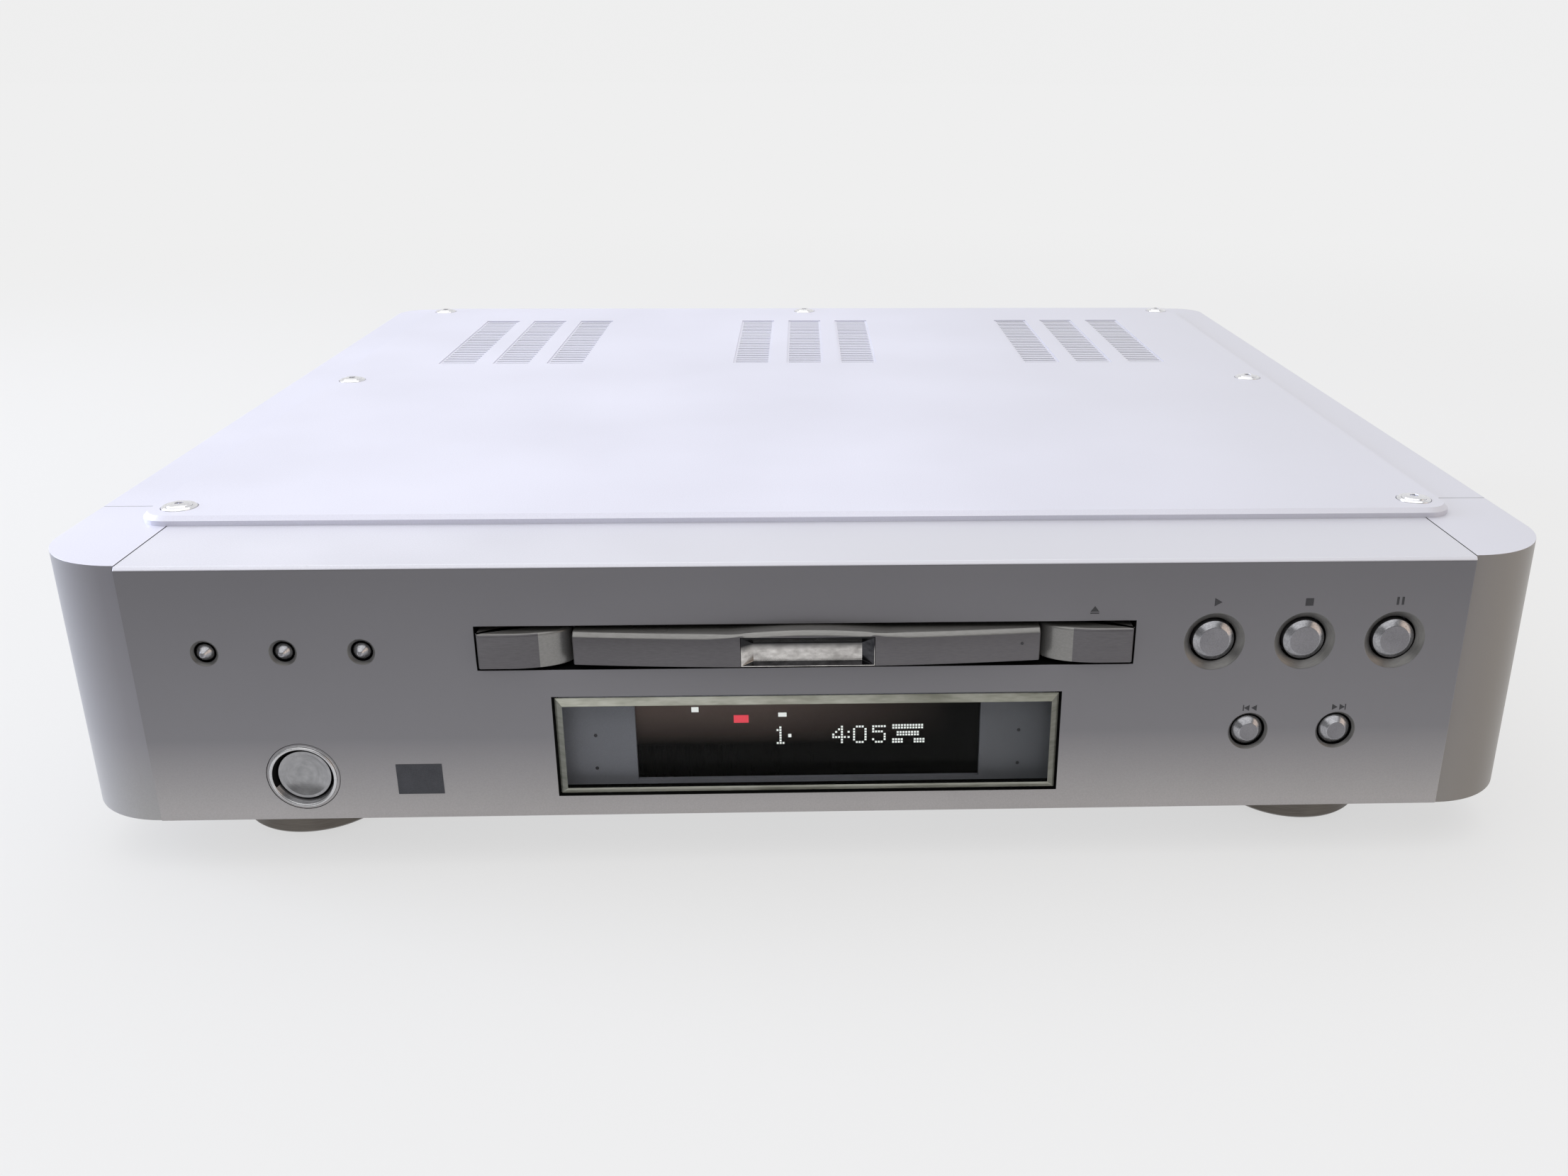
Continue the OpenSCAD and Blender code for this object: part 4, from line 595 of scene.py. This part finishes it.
def bowedFront(b):
    # The front follows y = middle + (ends - middle) (x/half)^2, and the top rises by swell cos(90
    # degrees x/width) over the insert. Each station's profile goes from the back's foot round the
    # front to the back's top; between the recess's two sides it steps back under the bridge
    side, bridge, floorY = b["recess"]
    width, rise, reach = b["swell"]
    outer = np.linspace(side, b["half"] - b["round"], b["stations"])
    inner = np.linspace(-side, side, b["stations"])
    x = np.concatenate([[-b["half"]], -outer[::-1], inner, outer, [b["half"]]])
    n = b["stations"]
    inset = np.zeros(len(x))
    inset[[0, -1]] = b["round"]
    overInsert = np.zeros(len(x), bool)
    overInsert[n + 1:2 * n + 1] = True
    front = b["middle"] + (b["ends"] - b["middle"]) * (x / b["half"]) ** 2 + inset
    swell = rise * np.cos(np.clip(x / width, -1, 1) * np.pi / 2)
    top = b["high"] + swell - inset
    low = b["low"] + inset
    slope, start, length = b["taper"]
    cut = np.clip(b["chamfer"] - slope * np.clip(start - abs(x), 0, length), 0, None)
    overBridge = abs(x) < side - b["bridgeInset"]
    cut = np.maximum(cut, np.minimum(b["chamfer"], top - bridge - b["lip"]) * overBridge)
    r, (little, much) = b["round"], b["curve"]
    lowerRound = r * np.where(overInsert, b["bridgeRound"], 1)
    stepY = np.where(overInsert, floorY, front + r)
    stepZ = np.where(overInsert, bridge, low)
    back, swellBack = np.full(len(x), b["back"]), np.full(len(x), reach)
    rows = [(back, low), (stepY, low), (stepY, stepZ), (front + r, stepZ),
            (front, stepZ + lowerRound), (front, top - cut),
            (front + little * cut, top - much * cut), (front + much * cut, top - little * cut),
            (front + cut, top), (swellBack, top), (swellBack, b["high"] - inset),
            (back, b["high"] - inset)]
    points = np.stack([np.stack([x, y, z], -1) for y, z in rows], 1).reshape(-1, 3)
    around = list(range(len(rows)))
    caps = [around, [(len(x) - 1) * len(rows) + k for k in around]]
    return points, gridFaces(len(x), len(rows), False, True).tolist() + caps


trayFront = piece("trayFront", bowedFront(bow), "tray", made["front_metal"],
                  ["tray_front"], 30)
# The tray front's high faces that look up are milled and painted pale as lit
dress(trayFront, (milledEdgeAndLight, lambda normal, centre: (normal[:, 2] > bow["milledUp"])
                  & (centre[:, 2] > bow["milledAbove"])))
# Which faces of a side button are milled and painted pale as lit: before back and inside corner,
# those that look up by more than up, or to a side by more than aside where they lie behind edge
milledAndLit = {"back": 7, "corner": 97.6, "up": 0.3, "aside": 0.25, "edge": -1.75}


def milledAndLitFaces(normal, centre):
    # The upper edge, and the end that falls away towards the tray, which take painted light
    m = milledAndLit
    falling = (abs(normal[:, 0]) > m["aside"]) & (centre[:, 1] > m["edge"])
    return ((centre[:, 1] < m["back"]) & (abs(centre[:, 0]) < m["corner"])
            & ((normal[:, 2] > m["up"]) | falling))


# The side buttons' upper edges and falling ends are milled and painted pale as lit
for name in ("videoButton", "openCloseButton"):
    dress(bpy.data.objects[name], (milledEdgeAndLight, milledAndLitFaces))
print("tray front bowed")

# Feet: the turned skirt, a little wider than the solid foot, as the photograph shows it
foot = dict(spots=dict(foot_front_left=(-165.5, 41.0), foot_front_right=(165.5, 41.0),
                       foot_rear_left=(-165.5, 403.0), foot_rear_right=(165.5, 403.0)),
            profile=[(2.4, 1.5), (10.0, 1.5), (10.0, 2.0), (21.9, 2.0), (22.9, 3.0), (22.9, 12.8),
                     (21.9, 13.4), (21.9, 14.4), (23.0, 14.9), (23.4, 17.5), (2.4, 17.5)],
            down=-17.5, ease=0.3)
for node, (x, y) in foot["spots"].items():
    skirt = turned(softened(foot["profile"], foot["ease"], closed=True), (x, y, foot["down"]),
                   along="z", closed=True)
    name = "".join([word.capitalize() if k else word for k, word in enumerate(node.split("_"))])
    piece(name, skirt, "case", made["foot_metal"], [node])
print("feet turned:", len(foot["spots"]))

# Round buttons: the profile runs from the middle of the face over the cone to the stem
transport = dict(r=6.35, face=4.5, proud=0.15, ease=0.18, flange=8.35)
skip = dict(r=4.95, face=2.9, proud=0.8, ease=0.15, flange=6.7)
mode = dict(r=2.8, face=0.7, proud=1.6, ease=0.45, flange=4.5)
roundButtons = {
    "play_button": dict(transport, name="playButton", at=(123.0, 56.6)),
    "stop_button": dict(transport, name="stopButton", at=(150.7, 56.6)),
    "pause_button": dict(transport, name="pauseButton", at=(178.4, 56.6)),
    "previous_button": dict(skip, name="previousButton", at=(136.45, 26.4)),
    "next_button": dict(skip, name="nextButton", at=(163.95, 26.4)),
    "mode_button_left": dict(mode, name="modeButtonLeft", at=(-178.1, 56.0)),
    "mode_button_middle": dict(mode, name="modeButtonMiddle", at=(-155.2, 56.0)),
    "mode_button_right": dict(mode, name="modeButtonRight", at=(-132.3, 56.0)),
    "power_button": dict(name="powerButton", at=(-154.8, 14.8), r=8.0, face=7.6, proud=-1.3,
                         ease=0.2, dish=(16.0, -13.0), flange=9.6),
}
# What all of them share: the rim's depth, the flange's two planes, the stem's end, how many times
# slimmer than the flange it is, and the faces that are bright: nearer than depth, turned from the
# front by more than cone, or by any amount in a hollow
stem = {"rim": 1.2, "flange": (8.4, 9.6), "end": 16.8, "slimmer": 2.5, "dishSteps": 12,
        "depth": 3.3, "cone": -0.97, "hollow": -2}
for node, b in roundButtons.items():
    r = b["r"]
    face = np.array([[0, -b["proud"]], [b["face"], -b["proud"]]])
    if "dish" in b:
        # The dish is a sphere's far side: depth = centre + sqrt(R^2 - radius^2)
        ballR, ballY = b["dish"]
        rim = math.sqrt(ballR ** 2 - (-b["proud"] - ballY) ** 2)
        across = np.linspace(0, rim, stem["dishSteps"])
        depth = ballY + np.sqrt(ballR ** 2 - across ** 2)
        face = np.concatenate([np.stack([across, depth], -1), face[1:]])
    wide, slim = b["flange"], b["flange"] / stem["slimmer"]
    (near, far), end = stem["flange"], stem["end"]
    rest = [[r, stem["rim"]], [r, near], [wide, near], [wide, far], [slim, far], [slim, end],
            [0, end]]
    profile = softened(np.concatenate([face, rest]), b["ease"])
    x, z = b["at"]
    button = piece(b["name"], turned(profile, (x, 0, z)), node, made["button_metal"],
                   [node])
    # The cone and its rim are cut bright, the flat face stays blasted, and the hollow is lapped
    bright, least = (hollowFinish, stem["hollow"]) if "dish" in b else (cutFinish, stem["cone"])
    dress(button, (bright, lambda normal, centre: (normal[:, 1] > least)
                   & (centre[:, 1] < stem["depth"])))

# The power button's ring. Its front is polished as far back as front; inside radius inner, what
# doesn't look up by more than up gets black painted shade, and outside radius outer it is as the
# panel
ring = dict(profile=[[8.6, 2.4], [8.6, 1.6], [9.3, -0.5], [9.8, -0.75], [10.2, -0.5], [10.35, 0.1],
                     [11.0, 0.1], [11.0, 2.4]],
            ease=0.15, at=roundButtons["power_button"]["at"], front=1.7, inner=9.1, up=0.35,
            outer=10.4)


def byAxis(centre):
    # Distance from the power button's axis
    return np.linalg.norm(centre[:, [0, 2]] - np.array(ring["at"]), axis=1)


x, z = ring["at"]
profile = softened(ring["profile"], ring["ease"], closed=True)
ringThing = piece("powerRing", turned(profile, (x, 0, z), closed=True), "case",
                  made["bright_steel"], ["power_ring"])
dress(ringThing, (rimFinish, lambda normal, centre: centre[:, 1] < ring["front"]),
      (shadeLiner, lambda normal, centre: (byAxis(centre) < ring["inner"])
       & (normal[:, 2] < ring["up"])),
      (panelFacePaintedLight, lambda normal, centre: byAxis(centre) > ring["outer"]))
print("round buttons turned:", len(roundButtons))

centres = np.array([b["at"] for b in roundButtons.values()])


def byButton(centre):
    # Distance across the panel to the nearest round button
    return np.linalg.norm(centre[:, None, [0, 2]] - centres, axis=2).min(1)


# The panel's face, grey with painted light and shade, ends at faceTop. Its walls that take black
# painted shade lie within wallHalf of the depth wallY, inside side and between the heights in
# wallZ.
# A dish's slope, darkened with painted shade, turns from the front by the numbers in slope and lies
# behind dishY, within reach of a button. A post's or cheek's face, which takes painted light and
# shade, is upright below the number up
dressing = {
    "faceTop": 81.5, "wallY": 4.1, "wallHalf": 3.8, "side": 199, "wallZ": (2, 80),
    "slope": (0.3, 0.97), "dishY": 0.02, "reach": 10, "up": 0.5, "bevel": 0.25,
}


def shadedOpeningWalls(normal, centre):
    d = dressing
    low, high = d["wallZ"]
    return ((abs(centre[:, 1] - d["wallY"]) < d["wallHalf"]) & (abs(centre[:, 0]) < d["side"])
            & (centre[:, 2] > low) & (centre[:, 2] < high))


def buttonDishes(normal, centre):
    least, most = dressing["slope"]
    return ((abs(normal[:, 1]) > least) & (abs(normal[:, 1]) < most)
            & (centre[:, 1] > dressing["dishY"]) & (byButton(centre) < dressing["reach"]))


def shadedBevels(normal, centre):
    # The insert's bevels at its top, foot and right end, which take painted shade
    bevel = dressing["bevel"]
    return (abs(normal[:, 2]) > bevel) | (normal[:, 0] < -bevel)


# The face takes painted light and shade, its openings black painted shade, its dishes painted shade
dress(bpy.data.objects["frontPanel"],
      (panelFacePaintedLight, lambda normal, centre: centre[:, 2] < dressing["faceTop"]),
      (shadeLiner, shadedOpeningWalls), (dishToolMarksAndShade, buttonDishes))
# The upright faces of the posts and cheeks take painted light and shade
for name in ("cornerPostLeft", "cornerPostRight", "sideCheekLeft", "sideCheekRight"):
    dress(bpy.data.objects[name],
          (sidePaintedLight, lambda normal, centre: normal[:, 2] < dressing["up"]))
# The insert's chrome takes painted shade along its top and on its bevels
dress(bpy.data.objects["trayInsert"],
      (chromeShadedTop, lambda normal, centre: np.ones(len(normal), bool)), (chromeShadedBevels, shadedBevels))

# Window: the pane's bevelled border takes a painted highlight and its ends painted shade, its face
# is clear
windowFaces = {"ease": 0.2, "slope": (0.3, 0.99)}
least, most = windowFaces["slope"]
window = eased("display_window", "displayWindow", windowFaces["ease"])
dress(window, (windowEdgeLit, lambda normal, centre: (abs(normal[:, 1]) > least)
               & (abs(normal[:, 1]) < most)),
      (windowEndShaded, lambda normal, centre: (abs(normal[:, 0]) > least) & (abs(normal[:, 1]) > least)))

# Display: dots of light just in front of the tube
display = {
    "front": 7.12, "back": 7.2, "dot": 0.62, "pitch": 0.9,
    "digits": {"0": "01110 10001 10001 10001 10001 10001 01110",
               "1": "00100 01100 00100 00100 00100 00100 01110",
               "4": "00010 00110 01010 10010 11111 00010 00010",
               "5": "11111 10000 11110 00001 00001 10001 01110", ":": "0 0 1 0 1 0 0"},
    "places": [("1", -10.9), ("4", 7.4), (":", 12.2), ("0", 13.9), ("5", 19.9)],
    "top": 26.4,
    "bars": [(26.2, 36.4, 25.2, 26.9), (27.6, 35.0, 22.8, 24.4), (26.2, 29.6, 20.3, 22.0),
             (33.0, 36.4, 20.3, 22.0)],
    "spots": [(-36.2, -34.0, 31.7, 33.4), (-9.4, -6.8, 29.8, 31.2), (-6.4, -5.4, 22.7, 23.8)],
    "red": (-23.2, -18.6, 27.9, 30.5),
}
corners = []
for digit, left in display["places"]:
    lit = np.array([[int(c) for c in row] for row in display["digits"][digit].split()])
    row, col = np.nonzero(lit)
    x = left + col * display["pitch"]
    z = display["top"] - row * display["pitch"] - display["dot"]
    corners.append(boxes(x, x + display["dot"], z, z + display["dot"]))
for x0, x1, z0, z1 in display["bars"]:
    # A bar is a row of dots
    x = np.arange(x0, x1 - display["dot"], display["pitch"])
    z = np.array([z0, z0 + display["pitch"]])
    x, z = [v.ravel() for v in np.meshgrid(x, z)]
    corners.append(boxes(x, x + display["dot"], z, z + display["dot"]))
x0, x1, z0, z1 = np.array(display["spots"]).T
corners.append(boxes(x0, x1, z0, z1))
planes = display["front"], display["back"]
piece("displayDots", prisms(np.concatenate(corners), *planes), "case", whiteGlow)
red = boxes(*[np.array([v]) for v in display["red"]])
piece("displayRed", prisms(red, *planes), "case", redGlow)

# Print on the panel: transport symbols, and a blank plate. pair is how far the two triangles of a
# skip symbol stand from its middle, and small their share of the play symbol's size
symbols = {
    "proud": 0.03, "size": 1.35, "pair": 0.85, "small": 0.75,
    "play": (123.0, 69.4), "stop": (150.7, 69.2), "pause": (178.4, 69.3),
    "previous": (136.45, 34.3), "next": (163.95, 34.3), "tray": (85.9, 67.3),
    "plate": (-126.5, -112.5, 8.4, 18.6), "plateProud": 0.1,
}
s = symbols["size"]
east = np.array([[-0.8, -1], [0.9, 0], [-0.8, 1]]) * s
north = np.array([[-1, -0.45], [1, -0.45], [0, 0.9]]) * s
triangles = [east + symbols["play"], north + symbols["tray"]]
for side, key in ((-1, "previous"), (1, "next")):
    for shift in (-symbols["pair"], symbols["pair"]):
        triangles.append(east * (side, 1) * symbols["small"] + symbols[key]
                         + np.array([shift * s, 0]))
bars = [(-0.9, 0.9, -0.9, 0.9, "stop"), (-0.85, -0.3, -0.95, 0.95, "pause"),
        (0.3, 0.85, -0.95, 0.95, "pause"), (-1.0, 1.0, -0.95, -0.65, "tray"),
        (1.5, 1.75, -0.75, 0.75, "next"), (-1.75, -1.5, -0.75, 0.75, "previous")]
flat = np.array([b[:4] for b in bars]) * s
middle = np.array([symbols[b[4]] for b in bars])
squares = boxes(*(flat + middle[:, [0, 0, 1, 1]]).T)
front = -symbols["proud"]
piece("printedSymbols", joined([prisms(triangles, front, 0.0), prisms(squares, front, 0.0)]),
      "case", ink)
plate = boxes(*[np.array([v]) for v in symbols["plate"]])
piece("blankPlate", prisms(plate, -symbols["plateProud"], 0.0), "case", plateFinish)
# The dark dots on the mask beside the tube, and the pinhole on the tray's front as a dark ink disc
# of painted shade
dots = {
    "radius": 0.6, "corners": 8, "mask": [(-65.9, 24.9), (-66.1, 13.6), (65.7, 25.1), (65.8, 13.6)],
    "maskPlanes": (5.45, 5.5), "tray": (64.2, 57.6), "trayShare": 0.7, "trayPlanes": (-2.4, -1.9),
}
angles = np.arange(dots["corners"]) * 2 * np.pi / dots["corners"]
octagon = dots["radius"] * np.stack([np.cos(angles), np.sin(angles)], -1)
piece("maskDots", prisms(octagon + np.array(dots["mask"])[:, None], *dots["maskPlanes"]), "case",
      ink)
piece("trayDot", prisms(dots["trayShare"] * octagon[None] + dots["tray"], *dots["trayPlanes"]),
      "tray", ink)
print("display and print laid")

# Studio: a wide pale floor that turns into the backdrop far from the player, and soft lamps
studio = {
    "floor": "#DCDCDC", "radius": 12.0, "turns": (0.4, 1.6), "veil": 0.72, "backdrop": "#EFEFEF",
    "behind": 0.86, "front": 0.34, "heading": (-0.4, 0.3),
}
lamps = {
    "overhead": dict(at=(-0.4, -0.3, 1.9), aim=(0.0, 0.0, 0.1), size=(4.0, 3.4), watts=40,
                     tint="#FFFFFF"),
    "left": dict(at=(-1.6, 0.15, 0.5), aim=(0.0, -0.1, 0.05), size=(0.7, 0.9), watts=19,
                 tint="#D9E3FF"),
    "right": dict(at=(1.4, -0.7, 0.45), aim=(0.0, -0.1, 0.05), size=(0.9, 1.1), watts=3.2,
                  tint="#FFE4CB"),
}
paper = turned([[0, 0], [studio["radius"], 0]], (0, 0, 0), along="z", steps=64)
sheet = bpy.data.meshes.new("floor")
sheet.from_pydata(paper[0].tolist(), [], paper[1].tolist())
floor = bpy.data.objects.new("floor", sheet)
bpy.context.scene.collection.objects.link(floor)
# Seamless studio paper: matt. Far from the player, what the camera, metal and glass see of it turns
# into the backdrop, while it keeps the shadow near the player
paperFinish = grainedFinish("studio_paper", dict(
    tone=(studio["floor"], studio["floor"]), metal=0.0, rough=(0.9, 0.95), grain=(20, 20, 20),
    patch=400, dent=0.0))
sheet.materials.append(paperFinish)
tree = paperFinish.node_tree
place = addNode(tree, "TexCoord").outputs["Object"]
away = addNode(tree, "VectorMath", {"operation": "LENGTH"}, {0: place}).outputs["Value"]
near, far = studio["turns"]
turning = addNode(tree, "MapRange", {"interpolation_type": "SMOOTHSTEP", 1: near, 2: far,
                                     3: studio["veil"]}, {0: away})
path = addNode(tree, "LightPath").outputs
direct = addNode(tree, "Math", {"operation": "MAXIMUM"},
                 {0: path["Is Camera Ray"], 1: path["Is Glossy Ray"]})
seen = addNode(tree, "Math", {"operation": "MAXIMUM"},
               {0: direct.outputs[0], 1: path["Is Transmission Ray"]})
share = addNode(tree, "Math", {"operation": "MULTIPLY"},
                {0: turning.outputs[0], 1: seen.outputs[0]})
glow = addNode(tree, "Emission", {"Color": linear(studio["backdrop"])})
matt = tree.nodes["Principled BSDF"].outputs[0]
mixed = addNode(tree, "MixShader", links={0: share.outputs[0], 1: matt, 2: glow.outputs[0]})
tree.links.new(mixed.outputs[0], tree.nodes["Material Output"].inputs["Surface"])

# The room: bright behind the player, dimmer in front of it
world = bpy.data.worlds.new("studio")
bpy.context.scene.world = world
world.use_nodes = True
tree = world.node_tree
direction = addNode(tree, "TexCoord").outputs["Generated"]
heading = addNode(tree, "SeparateXYZ", links={0: direction}).outputs[1]
near, far = studio["heading"]
level = addNode(tree, "MapRange", {1: near, 2: far, 3: studio["front"], 4: studio["behind"]},
                {0: heading})
# What the camera sees of the room is as pale as the backdrop all round
plain = addNode(tree, "Math", {"operation": "MULTIPLY", 1: studio["behind"]},
                {0: addNode(tree, "LightPath").outputs["Is Camera Ray"]})
shown = addNode(tree, "Math", {"operation": "MAXIMUM"},
                {0: level.outputs[0], 1: plain.outputs[0]})
tree.links.new(shown.outputs[0], tree.nodes["Background"].inputs["Strength"])
tree.nodes["Background"].inputs["Color"].default_value = (1, 1, 1, 1)

for name, lamp in lamps.items():
    light = bpy.data.lights.new(name, "AREA")
    light.shape = "RECTANGLE"
    light.size, light.size_y = lamp["size"]
    light.energy = lamp["watts"]
    light.color = linear(lamp["tint"])[:3]
    holder = bpy.data.objects.new(name, light)
    bpy.context.scene.collection.objects.link(holder)
    away = Vector(lamp["at"]) - Vector(lamp["aim"])
    turn = away.to_track_quat("Z", "Y").to_matrix().to_4x4()
    holder.matrix_world = Matrix.Translation(lamp["at"]) @ turn

# Camera, as measured from the photograph's straight lines
view = {
    "eye": (-0.00025, -0.614698, 0.239326), "pitch": 21.7952, "yaw": 2.2824, "roll": 0.3025,
    "focal": 2016.173, "centre": (1212.735, 879.504), "image": (2212, 1659), "sensor": 36.0,
    "nearest": 0.01,
}
pitch, yaw, roll = [math.radians(view[k]) for k in ("pitch", "yaw", "roll")]
ahead = Vector((math.sin(yaw) * math.cos(pitch), math.cos(yaw) * math.cos(pitch), -math.sin(pitch)))
levelRight = Vector((math.cos(yaw), -math.sin(yaw), 0))
levelUp = levelRight.cross(ahead)
right = levelRight * math.cos(roll) + levelUp * math.sin(roll)
up = -levelRight * math.sin(roll) + levelUp * math.cos(roll)
lens = bpy.data.cameras.new("camera")
lens.sensor_fit = "HORIZONTAL"
lens.sensor_width = view["sensor"]
wide, high = view["image"]
lens.lens = view["focal"] / wide * view["sensor"]
lens.shift_x = (wide / 2 - view["centre"][0]) / wide
lens.shift_y = (view["centre"][1] - high / 2) / wide
lens.clip_start = view["nearest"]
camera = bpy.data.objects.new("camera", lens)
turn = Matrix((right, up, -ahead)).transposed().to_4x4()
camera.matrix_world = Matrix.Translation(view["eye"]) @ turn
bpy.context.scene.collection.objects.link(camera)
bpy.context.scene.camera = camera
bpy.context.scene.view_settings.view_transform = "Standard"
print("studio and camera set")
